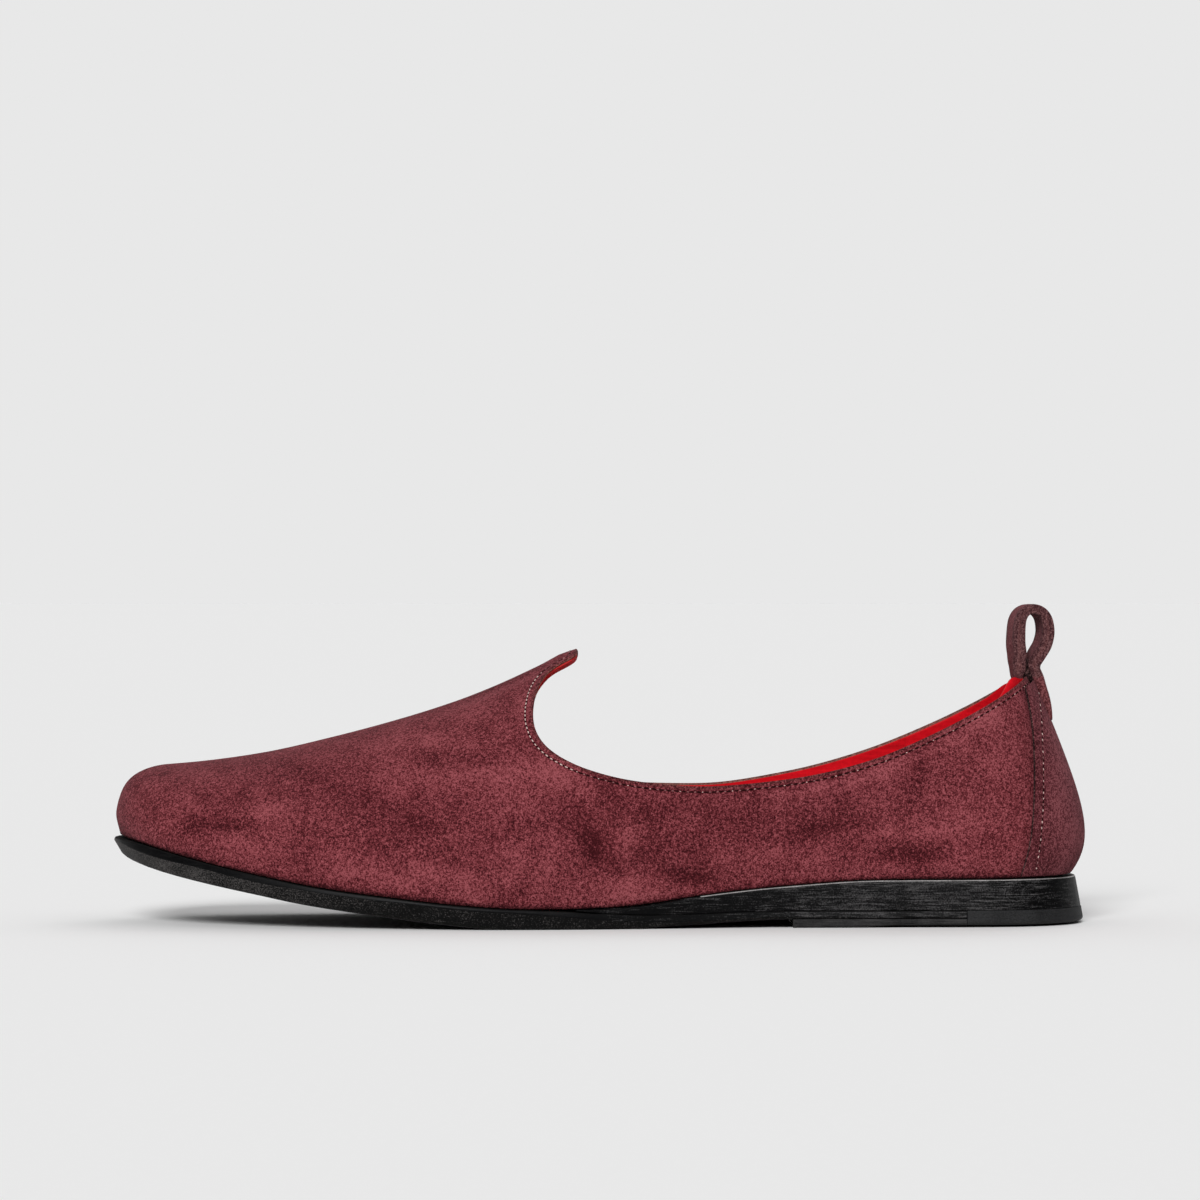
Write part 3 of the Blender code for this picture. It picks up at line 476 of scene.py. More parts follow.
# The end of the tongue is folded over full and square: middle, reach and move (y, z), all in mm.
TONGUE_END = (((0.0, -12.0, 79.0), 3.5, (0.0, 0.5)),
              ((0.0, -6.8, 81.2), 2.0, (-0.2, -0.1)),
              ((8.0, -8.8, 79.0), 3.2, (1.2, 0.4)),
              ((-10.8, -8.0, 77.5), 3.2, (0.1, 0.5)))
for vert in outer.verts:
    place = vert.co.copy()
    for middle, reach, (back, up) in TONGUE_END:
        share = math.exp(-((place / MM - Vector(middle)).length / reach) ** 2)
        vert.co += Vector((0, back, up)) * MM * share
ABOVE_SOLE = 30 * MM                           # edges higher than this are the top line's
EDGE_SPACING = 0.4 * MM
cad_edge = tree_of(loop_points([edge for edge in outer.edges if edge.is_boundary
                                and edge.verts[0].co.z > ABOVE_SOLE], EDGE_SPACING))
outer.normal_update()
skin = outer.copy()
inward = set_inward(skin)
grown = bmesh.ops.extrude_face_region(skin, geom=list(skin.faces), use_keep_orig=True)["geom"]
copied = {piece for piece in grown if isinstance(piece, bmesh.types.BMFace)}
for face in skin.faces:
    if face in copied:
        face.material_index = INSIDE
    elif face.calc_area() < 1e-14:             # still flat: the rims between the two walls
        face.material_index = TURNED if face.calc_center_median().z > ABOVE_SOLE else LASTED
    else:
        face.material_index = OUTSIDE
for piece in grown:
    if isinstance(piece, bmesh.types.BMVert):
        piece.co += piece[inward]
bmesh.ops.recalc_face_normals(skin, faces=skin.faces)
TURN_RADIUS = 0.25 * MM
for mark, kept in ((INSIDE, TURNED), (OUTSIDE, OUTSIDE)):
    for face in round_off(skin, border(skin, mark, TURNED), TURN_RADIUS):
        face.material_index = kept
edge_tree = tree_of(loop_points(border(skin, OUTSIDE, TURNED), EDGE_SPACING))


def seam_inset(station):
    """How far in from the turned edge the stitched row lies: less along the collar."""
    return np.interp(station, (-20 * MM, 2 * MM), (2.35 * MM, 1.80 * MM))


def set_value(mesh, name, values):
    """Keeps one number for each vertex, for the material to read."""
    mesh.attributes.new(name, "FLOAT", "POINT").data.foreach_set("value", values)


def lay_pile_and_shade(mesh, points, table, far_shift=FAR_SIDE_SHIFT, darker=0.0):
    """Keeps at each vertex which way the pile lies and the table's painted shade and highlight,
    less any darkening given.
    """
    sides = np.array([vert.normal.x for vert in mesh.vertices])
    set_value(mesh, "lay_and_shade", marks_at(table, points, sides, far_shift) - darker)


def weigh(tree, *terms):
    """The sum of value times weight over the terms."""
    total = 0.0
    for value, weight in terms:
        total = add(tree, "Math", {"operation": "MULTIPLY_ADD"},
                    {0: value, 1: weight, 2: total}).outputs[0]
    return total


def share_of(tree, *terms):
    """The weighed sum of the terms, held between 0 and 1."""
    return add(tree, "Clamp", sockets={0: weigh(tree, *terms)}).outputs[0]


def blend(tree, share, first, second):
    """First colour, giving way to the second as the share goes from 0 to 1."""
    return add(tree, "Mix", {"data_type": "RGBA"}, {0: share, 6: first, 7: second}).outputs[2]


def bumps(tree, shader, height, strength, depth):
    """Raises the surface by the height, its depth in millimetres."""
    raised = add(tree, "Bump", sockets={"Strength": strength, "Distance": depth * MM,
                                        "Height": height})
    tree.links.new(raised.outputs[0], shader.inputs["Normal"])


def node_group(name, colours, numbers, numbers_out):
    """A node group of these inputs that gives out a colour and these numbers."""
    group = bpy.data.node_groups.new(name, "ShaderNodeTree")
    for way, kind, sockets in (("INPUT", "Color", colours), ("INPUT", "Float", numbers),
                               ("OUTPUT", "Color", ["Colour"]), ("OUTPUT", "Float", numbers_out)):
        for socket in sockets:
            group.interface.new_socket(socket, in_out=way, socket_type="NodeSocket" + kind)
    return (group, group.nodes.new("NodeGroupInput").outputs,
            group.nodes.new("NodeGroupOutput").inputs)


def nap_group():
    """Brushed nap: light and dark patches by the lie of the pile and the painted shade given in,
    and a fine speckle.
    """
    group, given, put = node_group("nap", ["Dark", "Middle", "Light"],
                                   ["Lay and shade", "Patches", "Speckle"], ["Height"])
    place = add(group, "TexCoord").outputs["Object"]
    patches = weigh(group, (noise(group, place, 26.0, 3.0), 1.8),
                    (noise(group, place, 8.0, 3.0), 1.6), (noise(group, place, 2.2, 2.0), 1.0))
    speckle = weigh(group, (noise(group, place, 0.45, 3.0, 0.75), 10.0),
                    (noise(group, place, 0.95, 2.0), 3.8))
    tone = weigh(group, (patches, given["Patches"]), (speckle, given["Speckle"]),
                 (given["Lay and shade"], 1.0))
    lighter, darker = share_of(group, (tone, 0.75)), share_of(group, (tone, -0.75))
    colour = blend(group, lighter, given["Middle"], given["Light"])
    colour = blend(group, darker, colour, given["Dark"])
    group.links.new(colour, put["Colour"])
    group.links.new(weigh(group, (speckle, 0.5), (patches, 0.4)), put["Height"])
    return group


nap = nap_group()


def brushed(tree, shader, dark, middle, light, lay_and_shade, patches=1.0, speckle=1.0, bump=0.35):
    """Joins the nap group to a suede's shader."""
    pile = add(tree, "Group", {"node_tree": nap},
               {"Dark": (*dark, 1), "Middle": middle if isinstance(middle, bpy.types.NodeSocket)
                else (*middle, 1), "Light": (*light, 1), "Lay and shade": lay_and_shade, "Patches": patches,
                "Speckle": speckle})
    tree.links.new(pile.outputs["Colour"], shader.inputs["Base Color"])
    bumps(tree, shader, pile.outputs["Height"], bump, 0.25)


def near_to(tree, attribute, least, most):
    """1 where the attribute, in mm, is under the least, and 0 where it is over the most."""
    away = add(tree, "Attribute", {"attribute_name": attribute}).outputs["Fac"]
    return ramp(tree, away, least, most, 1.0, 0.0)


def burgundy_suede(tree, shader):
    """Painted shade darkens the pile along the groove of the stitched row; over the rolled edge
    the pile is darker and browner.
    """
    lay_and_shade = add(tree, "Attribute", {"attribute_name": "lay_and_shade"}).outputs["Fac"]
    rolled = near_to(tree, "from_edge", 0.6, 1.3)
    # painted shade in the groove of the stitched row
    row = near_to(tree, "from_row", 0.15, 0.6)
    lay_and_shade = weigh(tree, (lay_and_shade, 1.2), (rolled, -0.35), (row, -0.75))
    middle = blend(tree, rolled, (0.131, 0.0228, 0.0285, 1), (0.105, 0.0290, 0.0290, 1))
    brushed(tree, shader, (0.033, 0.0040, 0.0058), middle, (0.280, 0.0710, 0.0820), lay_and_shade,
            patches=0.75, speckle=1.0)


def turned_suede(tree, shader):
    brushed(tree, shader, (0.045, 0.016, 0.014), (0.145, 0.050, 0.042), (0.260, 0.110, 0.090),
            0.0, patches=0.7, speckle=0.9)


# The lasted edge is coloured near black as painted shade in the gap between upper and sole.
def lasted_edge_shade(tree, shader):
    brushed(tree, shader, (0.004, 0.002, 0.002), (0.012, 0.005, 0.005), (0.040, 0.018, 0.018), 0.0)


def flesh_side(tree, shader):
    brushed(tree, shader, (0.100, 0.040, 0.035), (0.200, 0.090, 0.075), (0.300, 0.160, 0.130), 0.0)


SUEDE = {"Roughness": 0.95, "Specular IOR Level": 0.05, "Sheen Weight": 0.07,
         "Sheen Roughness": 0.45, "Sheen Tint": (0.85, 0.40, 0.45, 1)}
suedes = [finish(name, fill, **SUEDE)          # outside, inside, lasted, turned
          for name, fill in (("burgundy_suede", burgundy_suede), ("suede_flesh_side", flesh_side),
                             ("lasted_edge_shade", lasted_edge_shade), ("turned_suede", turned_suede))]
fine_upper = skin
mesh = put_together("suede_upper", skin, suedes, "upper").data
points = np.array([vert.co for vert in mesh.vertices])
SOLE_SHADE, SOLE_SHADE_REACH = 0.8, 1.2 * MM        # painted shade: the pile is darkened where it meets the sole
feather = tree_of(loop_points(border(fine_upper, OUTSIDE, LASTED), EDGE_SPACING))
gap = np.array([feather.find(point)[2] for point in points]) / SOLE_SHADE_REACH
lay_pile_and_shade(mesh, points, PILE_AND_SHADE, darker=SOLE_SHADE * np.exp(-gap ** 2))
from_edge = np.array([edge_tree.find(point)[2] for point in points])
set_value(mesh, "from_edge", from_edge / MM)
set_value(mesh, "from_row", np.abs(from_edge - seam_inset(points[:, 1])) / MM)

# ---- lining -----------------------------------------------------------------------------------
# Bright red kid leather inside the whole upper, pasted to the suede. Its top edge is cut off just
# below the turned suede, and its cut edge is painted a paler red as a highlight.
LINING_DROP = 0.6 * MM
LINING_THICKNESS = 0.5 * MM


def red_kid(tree, shader):
    place = add(tree, "TexCoord").outputs["Object"]
    grain = noise(tree, place, 0.9, 3.0, 0.6)
    # light and dark streaks along the kid are painted highlight and shade of fine creases
    drawn = add(tree, "Mapping", sockets={"Vector": place, "Scale": (1.0, 0.12, 1.0)}).outputs[0]
    crease_light_and_shade = noise(tree, drawn, 1.6, 3.0, 0.6)
    share = share_of(tree, (grain, 0.7), (crease_light_and_shade, 1.5), (0.5, 1.0))
    tree.links.new(blend(tree, share, (0.34, 0.0028, 0.0065, 1), (0.72, 0.0068, 0.0155, 1)),
                   shader.inputs["Base Color"])
    bumps(tree, shader, grain, 0.3, 0.2)


# The paler red of the lining's cut edge is a painted highlight.
def kid_edge_highlight(tree, shader):
    place = add(tree, "TexCoord").outputs["Object"]
    share = share_of(tree, (noise(tree, place, 0.6, 2.0), 1.2), (0.5, 1.0))
    tree.links.new(blend(tree, share, (0.50, 0.0120, 0.0170, 1), (0.66, 0.0550, 0.0520, 1)),
                   shader.inputs["Base Color"])


PASTE = 0.05 * MM
skin = outer.copy()
inward = set_inward(skin, PASTE)
drops = {}
for vert in skin.verts:
    below = [edge.other_vert(vert) for edge in vert.link_edges if not edge.is_boundary]
    if vert.is_boundary and below and vert.co.z > ABOVE_SOLE:
        toward = sum(((other.co - vert.co) for other in below), Vector()).normalized()
        drops[vert] = toward * LINING_DROP
for vert in skin.verts:
    vert.co += vert[inward] + drops.get(vert, Vector())
bmesh.ops.reverse_faces(skin, faces=skin.faces)
lining_skin = skin.copy()
kid = finish("red_lining", red_kid, **{"Roughness": 0.6, "Specular IOR Level": 0.04})
kid_highlight_finish = finish("red_lining_edge_highlight", kid_edge_highlight,
                  **{"Roughness": 0.7, "Specular IOR Level": 0.1})


def line_with(name, skin):
    """Red kid of its real thickness on this skin, its cut edge painted paler as a highlight."""
    wall = put_together(name, skin, (kid, kid_highlight_finish)).modifiers.new("thickness", "SOLIDIFY")
    wall.thickness = LINING_THICKNESS
    wall.offset = 1.0
    wall.material_offset_rim = 1


line_with("lining", skin)

# ---- heel lining ------------------------------------------------------------------------------
# A second piece of the same red kid lines the heel, pasted over the quarter lining. Beside the
# pull loop its edge has come up a little.
HEEL_SEAM = 91 * MM                            # y of its front edge, which leans a little
CURL, CURL_AT, CURL_REACH = 4.6 * MM, 121.5 * MM, 2.9 * MM     # its edge stands up by the loop
FAR_SHARE = 0.25                               # and less on the inner side
EDGE_REACH = 5 * MM
skin = lining_skin
bmesh.ops.bisect_plane(skin, geom=[*skin.verts, *skin.edges, *skin.faces], dist=1e-6,
                       plane_co=(0, HEEL_SEAM, 30 * MM), plane_no=(0, -1, 0.06),
                       clear_outer=True)
skin.normal_update()
for vert in skin.verts:
    near = max(1 - cad_edge.find(vert.co)[2] / EDGE_REACH, 0) * (
        1.0 if vert.co.x > 0 else FAR_SHARE)
    vert.co += vert.normal * (LINING_THICKNESS + PASTE)
    vert.co.z += CURL * near * math.exp(-((vert.co.y - CURL_AT) / CURL_REACH) ** 2)
line_with("heel_lining", skin)

# ---- top-line stitching -----------------------------------------------------------------------
# One row of lockstitch runs right round, about 2 mm in from the turned edge. The thread is pale
# and stands up at the throat. Along the collar it has sunk into the pile, and most of its stitches
# there are painted darker as shade.
STITCH = 1.7 * MM
COLLAR_STITCH = 2.2 * MM
THROAT_BACK, THROAT_LOW, THROAT_HIGH = -1 * MM, 46 * MM, 73 * MM     # where the thread is up
SHOWING, OUT_OF = (2, 5), 7                    # collar stitches shown in pale thread; the rest are painted dark as shade
GRAIN = (1.05 * MM, 0.42 * MM, 0.34 * MM)      # length, width, height of thread that shows
HOLE = (0.95 * MM, 0.50 * MM, 0.14 * MM)
DIMPLE = (1.55 * MM, 0.56 * MM, 0.14 * MM)     # a hole the thread has pulled long


def seed(skin, place, along, outward, size):
    """One small rounded grain lying on the surface, added to the skin."""
    along = (along - outward * along.dot(outward)).normalized()
    axes = Matrix((along, outward.cross(along), outward)).transposed().to_4x4()
    bmesh.ops.create_uvsphere(
        skin, u_segments=8, v_segments=5, radius=0.5,
        matrix=Matrix.Translation(place) @ axes @ Matrix.Diagonal((*size, 1)))


def seam_line(skin, mark):
    """The line on one wall that lies one seam inset from the edge, as points in order."""
    skin.verts.index_update()
    left_over = [edge_tree.find(vert.co)[2] - seam_inset(vert.co.y) for vert in skin.verts]
    crossed = {}
    for face in skin.faces:
        if face.material_index == mark:
            cut = [edge for edge in face.edges
                   if len({left_over[vert.index] < 0 for vert in edge.verts}) == 2]
            if len(cut) == 2:
                for edge, other in (cut, cut[::-1]):
                    crossed.setdefault(edge, []).append(other)
    line = []
    while crossed:                       # the longest run is the seam
        run, ahead = [], [min(crossed, key=lambda edge: len(crossed[edge]))]
        while ahead:
            edge = ahead[0]
            run.append(edge)
            ahead = [other for other in crossed.pop(edge) if other in crossed]
        line = max(line, run, key=len)
    places = []
    for edge in line:
        first, second = edge.verts
        share = left_over[first.index] / (left_over[first.index] - left_over[second.index])
        places.append(first.co.lerp(second.co, share))
    return places


def thread(tree, shader, dark, light):
    place = add(tree, "TexCoord").outputs["Object"]
    twist = noise(tree, place, 0.30, 1.0)
    share = share_of(tree, (twist, 2.0), (0.5, 1.0))
    tree.links.new(blend(tree, share, (*dark, 1), (*light, 1)), shader.inputs["Base Color"])
    bumps(tree, shader, twist, 0.5, 0.1)


def pale(tree, shader):
    thread(tree, shader, (0.30, 0.18, 0.165), (0.72, 0.54, 0.49))


# The darker thread is painted shade on thread sunk into the pile.
def sunk_in_shade(tree, shader):
    thread(tree, shader, (0.110, 0.035, 0.038), (0.300, 0.150, 0.145))


# Needle holes are small grains on the surface, coloured near black as painted shade in the hole.
def pierced_shade(tree, shader):
    thread(tree, shader, (0.006, 0.002, 0.002), (0.022, 0.006, 0.006))


pale_thread = finish("pale_thread", pale, **{"Roughness": 0.6, "Specular IOR Level": 0.3})
shaded_thread = finish("shaded_thread", sunk_in_shade, **{"Roughness": 0.8, "Specular IOR Level": 0.2})
needle_hole_shade = finish("needle_hole_shade", pierced_shade, **{"Roughness": 1.0, "Specular IOR Level": 0.0})

raised, flat, holes = bmesh.new(), bmesh.new(), bmesh.new()
outside = BVHTree.FromBMesh(wall_of(fine_upper, OUTSIDE))
line = np.array(seam_line(fine_upper, OUTSIDE))
run = run_along(line)
gone, count = 0.0, 0
while gone < run[-1]:
    here, ahead = (Vector([np.interp(way, run, column) for column in line.T])
                   for way in (gone, gone + 1 * MM))
    place, outward = outside.find_nearest(here)[:2]
    along = (ahead - here).normalized()
    at_throat = place.y < THROAT_BACK and THROAT_LOW < place.z < THROAT_HIGH
    pitch = STITCH if at_throat else COLLAR_STITCH
    seed(holes, place + along * pitch / 2, along, outward, HOLE if at_throat else DIMPLE)
    length, width, height = GRAIN
    if at_throat:
        seed(raised, place + outward * 0.05 * MM, along, outward, (length, width, height))
    elif count % OUT_OF in SHOWING:
        seed(raised, place, along, outward, (length * 0.45, width * 0.8, height))
    else:
        seed(flat, place, along, outward, (length * 0.6, width, height))
    gone, count = gone + pitch, count + 1
put_together("throat_stitches", raised, (pale_thread,))
put_together("collar_stitches", flat, (shaded_thread,))
put_together("top_line_holes", holes, (needle_hole_shade,))

# ---- heel tab ---------------------------------------------------------------------------------
# A counter of plum suede laid over the back seam, stood proud of the quarters, with one pale
# stitched row inside its front edge and a bar tack across the top corner.
def sharp_edges(skin, degrees):
    """Edges whose faces meet at more than this."""
    return [edge for edge in skin.edges if edge.calc_face_angle(0) > math.radians(degrees)]


# Lie of the tab's pile; the dark band along its front edge is painted shade of the gap in front of
# the tab.
TAB_PILE_AND_SHADE = dict(
    columns=("y", "z", "half_length", "half_height", "turn", "lay_and_shade"),
    rows=(
        (127.0, 45.0, 2.6, 30.0, 0, -0.45),
        (136.0, 45.0, 4.5, 30.0, 0, 0.30),
        (131.0, 19.0, 10.0, 5.0, 0, -0.40),
        (136.0, 40.0, 4.0, 14.0, 0, 0.25),
        (141.0, 26.0, 4.0, 6.0, 0, 0.20),
        (127.0, 33.0, 2.0, 6.0, 10, -0.25),
        (133.0, 57.0, 4.0, 5.0, 0, -0.20),
    ))


def plum_suede(tree, shader):
    lay_and_shade = add(tree, "Attribute", {"attribute_name": "lay_and_shade"}).outputs["Fac"]
    brushed(tree, shader, (0.034, 0.0052, 0.0070), (0.104, 0.0230, 0.0290),
            (0.225, 0.0660, 0.0760), lay_and_shade, patches=0.8, speckle=1.1)


def gap_shade_edge(tree, shader):
    brushed(tree, shader, (0.005, 0.0028, 0.0028), (0.020, 0.0095, 0.0095),
            (0.120, 0.0600, 0.0580), -0.25, patches=0.5, speckle=1.5)


TAB_CORNER = 55                                # degrees
tab_cad = cad_skin("heel_tab")
skin = tab_cad.copy()
round_off(skin, sharp_edges(skin, TAB_CORNER), 0.45 * MM)
skin.normal_update()
for face in skin.faces:
    if face.normal.y < -0.30:                  # the cut edge faces forward and is coloured near black as painted shade of the gap in front of the tab
        face.material_index = 1
skin = subdivided(skin, "heel_tab_suede", 1)
plum = finish("plum_suede", plum_suede, **SUEDE)
tab_edge_shade_suede = finish("suede_edge_gap_shade", gap_shade_edge, **SUEDE)
mesh = put_together("heel_tab_suede", skin, (plum, tab_edge_shade_suede), "heel_tab").data
lay_pile_and_shade(mesh, np.array([vert.co for vert in mesh.vertices]), TAB_PILE_AND_SHADE, far_shift=0.0)

TAB_SEAM = ((17.0, 127.9), (25.0, 129.0), (35.0, 129.9), (45.0, 130.3), (60.0, 130.4),
            (69.5, 130.1))                     # z, y in mm
TACK_HOLES = 4                                 # of the bar tack, behind one another
TACK_START, TACK_STEP = np.array([(130.4, 71.0), (0.85, 0.1)])      # y, z in mm
BESIDE = 80                                    # mm out from the middle, well clear of the heel
tab_surface = BVHTree.FromBMesh(tab_cad)


def on_tab(side, y, z):
    """The place on the tab straight in from one side, and which way it faces there."""
    return tab_surface.ray_cast(Vector((side * BESIDE, y, z)) * MM, Vector((-side, 0, 0)))[:2]


heights, stations = zip(*TAB_SEAM)
pale_tab, shaded_tab, tab_holes = bmesh.new(), bmesh.new(), bmesh.new()
for side in (1, -1):
    for k, z in enumerate(np.arange(heights[0], heights[-1], STITCH / MM)):
        y, y_above = (np.interp(z + up, heights, stations) for up in (0.0, 1.0))
        place, outward = on_tab(side, y, z)
        along = Vector((0, y_above - y, 1)).normalized()
        seed(tab_holes, place + along * STITCH / 2, along, outward, HOLE)
        # stitches 1 and 4 of every five on the tab take the darker thread, painted shade
        seed(shaded_tab if k % 5 in (1, 4) else pale_tab, place, along, outward,
             (GRAIN[0] * (0.75 if k % 3 else 0.55), GRAIN[1] * 0.8, GRAIN[2]))
    for k in range(TACK_HOLES):
        place, outward = on_tab(side, *(TACK_START + TACK_STEP * k))
        if place:
            seed(tab_holes, place, Vector((0, 0.2, 1)), outward, (1.3 * MM, 0.45 * MM, 0.30 * MM))
put_together("tab_stitches", pale_tab, (pale_thread,))
put_together("shaded_tab_stitches", shaded_tab, (shaded_thread,))
put_together("tab_holes", tab_holes, (needle_hole_shade,))

# ---- pull loop --------------------------------------------------------------------------------
# A strip of the same suede folded double and sewn either side of the heel, its eye standing above
# the collar. The cut edges are left raw and dark, with the fold of the strip showing as a line.
def loop_suede(tree, shader):
    brushed(tree, shader, (0.040, 0.0090, 0.0110), (0.112, 0.0300, 0.0330),
            (0.235, 0.0800, 0.0850), 0.0, patches=0.6, speckle=1.0)


def loop_cut_edge(tree, shader):
    brushed(tree, shader, (0.020, 0.0075, 0.0085), (0.064, 0.0235, 0.0260),
            (0.170, 0.0800, 0.0800), 0.0, patches=0.4, speckle=0.9)


def fold_line(tree, shader):
    brushed(tree, shader, (0.040, 0.0130, 0.0140), (0.100, 0.0380, 0.0390),
            (0.200, 0.0950, 0.0930), 0.0, patches=0.4, speckle=0.8)


skin = cad_skin("pull_loop")
for vert in skin.verts:
    y, z = vert.co.y / MM, vert.co.z / MM
    if y > 128:                          # the leg is drawn down onto the tab
        vert.co.y -= 0.65 * MM * min(max((74 - z) / 4, 0), 1)
    elif z > 62:                         # the front strand slips back behind the lining
        vert.co.y += 1.5 * MM * min(max((77 - z) / 6, 0), 1)
skin.normal_update()
FACE, RAW, FOLD = range(3)
for face in skin.faces:
    face.material_index = RAW if abs(face.normal.x) > 0.75 else FACE
for face in round_off(skin, border(skin, FACE, RAW), 0.35 * MM):
    face.material_index = RAW
raw = [face for face in skin.faces if face.material_index == RAW and abs(face.normal.x) > 0.9]
bmesh.ops.inset_region(skin, faces=raw, thickness=1.20 * MM, depth=0.0, use_even_offset=True)
bmesh.ops.inset_region(skin, faces=raw, thickness=0.12 * MM, depth=0.22 * MM,
                       use_even_offset=True)
for face in raw:
    face.material_index = FOLD
for face in skin.faces:                  # the legs below the collar are worn smooth at the edge
    if face.calc_center_median().z < 72.5 * MM:
        face.material_index = FACE
skin = subdivided(skin, "loop_strip", 1)
loop_finishes = (finish("loop_suede", loop_suede, **SUEDE),
                 finish("loop_cut_edge", loop_cut_edge, **SUEDE),
                 finish("loop_fold", fold_line, **SUEDE))
put_together("loop_strip", skin, loop_finishes, "pull_loop")

# Where the two strands meet above the collar they are packed with a scrap and sewn through.
PACKING_AT, PACKING_LEAN = (-1.2, 128.4, 74.6), -12      # mm and degrees
PACKING_SIZE = (11.6 * MM, 4.6 * MM, 6.6 * MM)
skin = bmesh.new()
bmesh.ops.create_cube(skin, size=1.0, matrix=Matrix.Translation(Vector(PACKING_AT) * MM)
                      @ Matrix.Rotation(math.radians(PACKING_LEAN), 4, "X")
                      @ Matrix.Diagonal((*PACKING_SIZE, 1)))
round_off(skin, list(skin.edges), 0.8 * MM)
skin = subdivided(skin, "loop_packing", 2)
# The scrap takes the same near-black suede as the tab's front edge.
put_together("loop_packing", skin, (tab_edge_shade_suede,))

# ---- insole -----------------------------------------------------------------------------------
# A thin board covered in the red kid, let in between upper and sole, with a padded heel sock
# pasted on its back third.
skin = cad_skin("insole")
round_off(skin, sharp_edges(skin, 50), 0.5 * MM)
footbed = put_together("footbed", skin, (kid,), "insole")
footbed.data.set_sharp_from_angle(angle=math.radians(40))

SOCK_FRONT, SOCK_MARGIN, SOCK_PAD = 45 * MM, 1.5 * MM, 0.5 * MM
skin = cad_skin("insole")
skin.normal_update()
bmesh.ops.delete(skin, geom=[face for face in skin.faces if face.normal.z < 0.8],
                 context="FACES")
bmesh.ops.bisect_plane(skin, geom=[*skin.verts, *skin.edges, *skin.faces], dist=1e-6,
                       plane_co=(0, SOCK_FRONT, 0), plane_no=(0, -1, 0), clear_outer=True)
bmesh.ops.dissolve_limit(skin, angle_limit=math.radians(2), verts=skin.verts, edges=skin.edges)
ring = bmesh.ops.inset_region(skin, faces=list(skin.faces), thickness=SOCK_MARGIN)["faces"]
bmesh.ops.delete(skin, geom=ring, context="FACES")
bmesh.ops.inset_region(skin, faces=list(skin.faces), thickness=0.6 * MM, depth=SOCK_PAD)
for vert in skin.verts:
    vert.co.z += 0.15 * MM
heel_sock = put_together("heel_sock", skin, (kid,))
heel_sock.data.set_sharp_from_angle(angle=math.radians(25))

# ---- outsole ----------------------------------------------------------------------------------
# One thin leather sole, pasted and pressed to the lasted upper. Its edge is inked and waxed black;
# below that it slants in and the ink is thin, so pale fibre shows, painted paler at the toe and
# darker toward the ball as light and shade. Underneath it is plain black.
def ink_group():
    """Black ink on leather: fibres drawn out level along the edge, and pale specks."""
    group, given, put = node_group("ink", ["Dark", "Pale"], ["Fibres", "Specks", "Wear", "Bias"],
                                   ["Share", "Height"])
    place = add(group, "TexCoord").outputs["Object"]
    drawn = add(group, "Mapping", sockets={"Vector": place, "Scale": (0.05, 0.05, 1.0)})
    fibres = noise(group, drawn.outputs[0], 0.36, 4.0, 0.75)
    specks = noise(group, place, 0.40, 2.0, 0.6)
    wear = noise(group, place, 10.0, 4.0, 0.6)
    share = share_of(group, (fibres, given["Fibres"]), (specks, given["Specks"]),
                     (wear, given["Wear"]), (given["Bias"], 1.0))
    group.links.new(blend(group, share, given["Dark"], given["Pale"]), put["Colour"])
    group.links.new(share, put["Share"])
    group.links.new(weigh(group, (fibres, 1.0), (specks, 0.6)), put["Height"])
    return group


ink = ink_group()


def inked(tree, shader, dark, pale_tone, fibres, specks, wear, bias, bump, rough=(0.3, 0.6)):
    """Joins the ink group to a leather's shader."""
    coat = add(tree, "Group", {"node_tree": ink},
               {"Dark": (*dark, 1), "Pale": (*pale_tone, 1), "Fibres": fibres, "Specks": specks,
                "Wear": wear, "Bias": bias})
    tree.links.new(coat.outputs["Colour"], shader.inputs["Base Color"])
    dull = add(tree, "MapRange", sockets={0: coat.outputs["Share"], "To Min": rough[0],
                                          "To Max": rough[1]})
    tree.links.new(dull.outputs[0], shader.inputs["Roughness"])
    bumps(tree, shader, coat.outputs["Height"], bump, 0.2)


def waxed_edge(tree, shader):
    inked(tree, shader, (0.0015, 0.0015, 0.0018), (0.012, 0.0115, 0.012), 1.2, 0.8, 1.0, 0.05, 0.2,
          (0.40, 0.60))


def along_sole(tree, start, end, first, last):
    """A value that goes from first to last between two places along the shoe, in metres."""
    place = add(tree, "TexCoord").outputs["Object"]
    length = add(tree, "SeparateXYZ", sockets={0: place}).outputs["Y"]
    return ramp(tree, length, start, end, first, last)


def slanted_edge(tree, shader):
    """Paler at the toe and darker toward the waist, as painted light and shade: the floor under
    the ball is in shadow.
    """
    # painted shade: darker toward the ball, where the floor beneath is in shadow
    bias = along_sole(tree, -0.125, -0.050, 0.30, -0.16)
    inked(tree, shader, (0.004, 0.004, 0.004), (0.095, 0.088, 0.086), 0.8, 3.2, 1.0, bias, 0.5,
          (0.5, 0.8))


def sole_leather(tree, shader):
    inked(tree, shader, (0.008, 0.0075, 0.0075), (0.055, 0.050, 0.047), 0.0, 1.2, 2.2, 0.25, 0.3,
          (0.35, 0.65))


def sanded_stack(tree, shader):
    """Streaked by sanding along most of the heel, solid black at the waist and back corner."""
    waist = along_sole(tree, 0.046, 0.064, -0.26, 0.0)
    back = along_sole(tree, 0.122, 0.136, 0.0, -0.22)
    bias = weigh(tree, (waist, 1.0), (back, 1.0), (0.12, 1.0))
    inked(tree, shader, (0.0012, 0.0012, 0.0014), (0.085, 0.082, 0.083), 3.4, 1.8, 1.0, bias, 0.5,
          (0.42, 0.65))


def hidden_ledge(tree, shader):
    inked(tree, shader, (0.002, 0.002, 0.002), (0.012, 0.011, 0.011), 0.5, 1.0, 1.0, 0.2, 0.3,
          (0.8, 0.95))


def softened(piece):
    """Smooth shading that keeps the flats flat and breaks at sharp edges."""
    piece.data.set_sharp_from_angle(angle=math.radians(50))
    even = piece.modifiers.new("even_shading", "WEIGHTED_NORMAL")
    even.keep_sharp = True


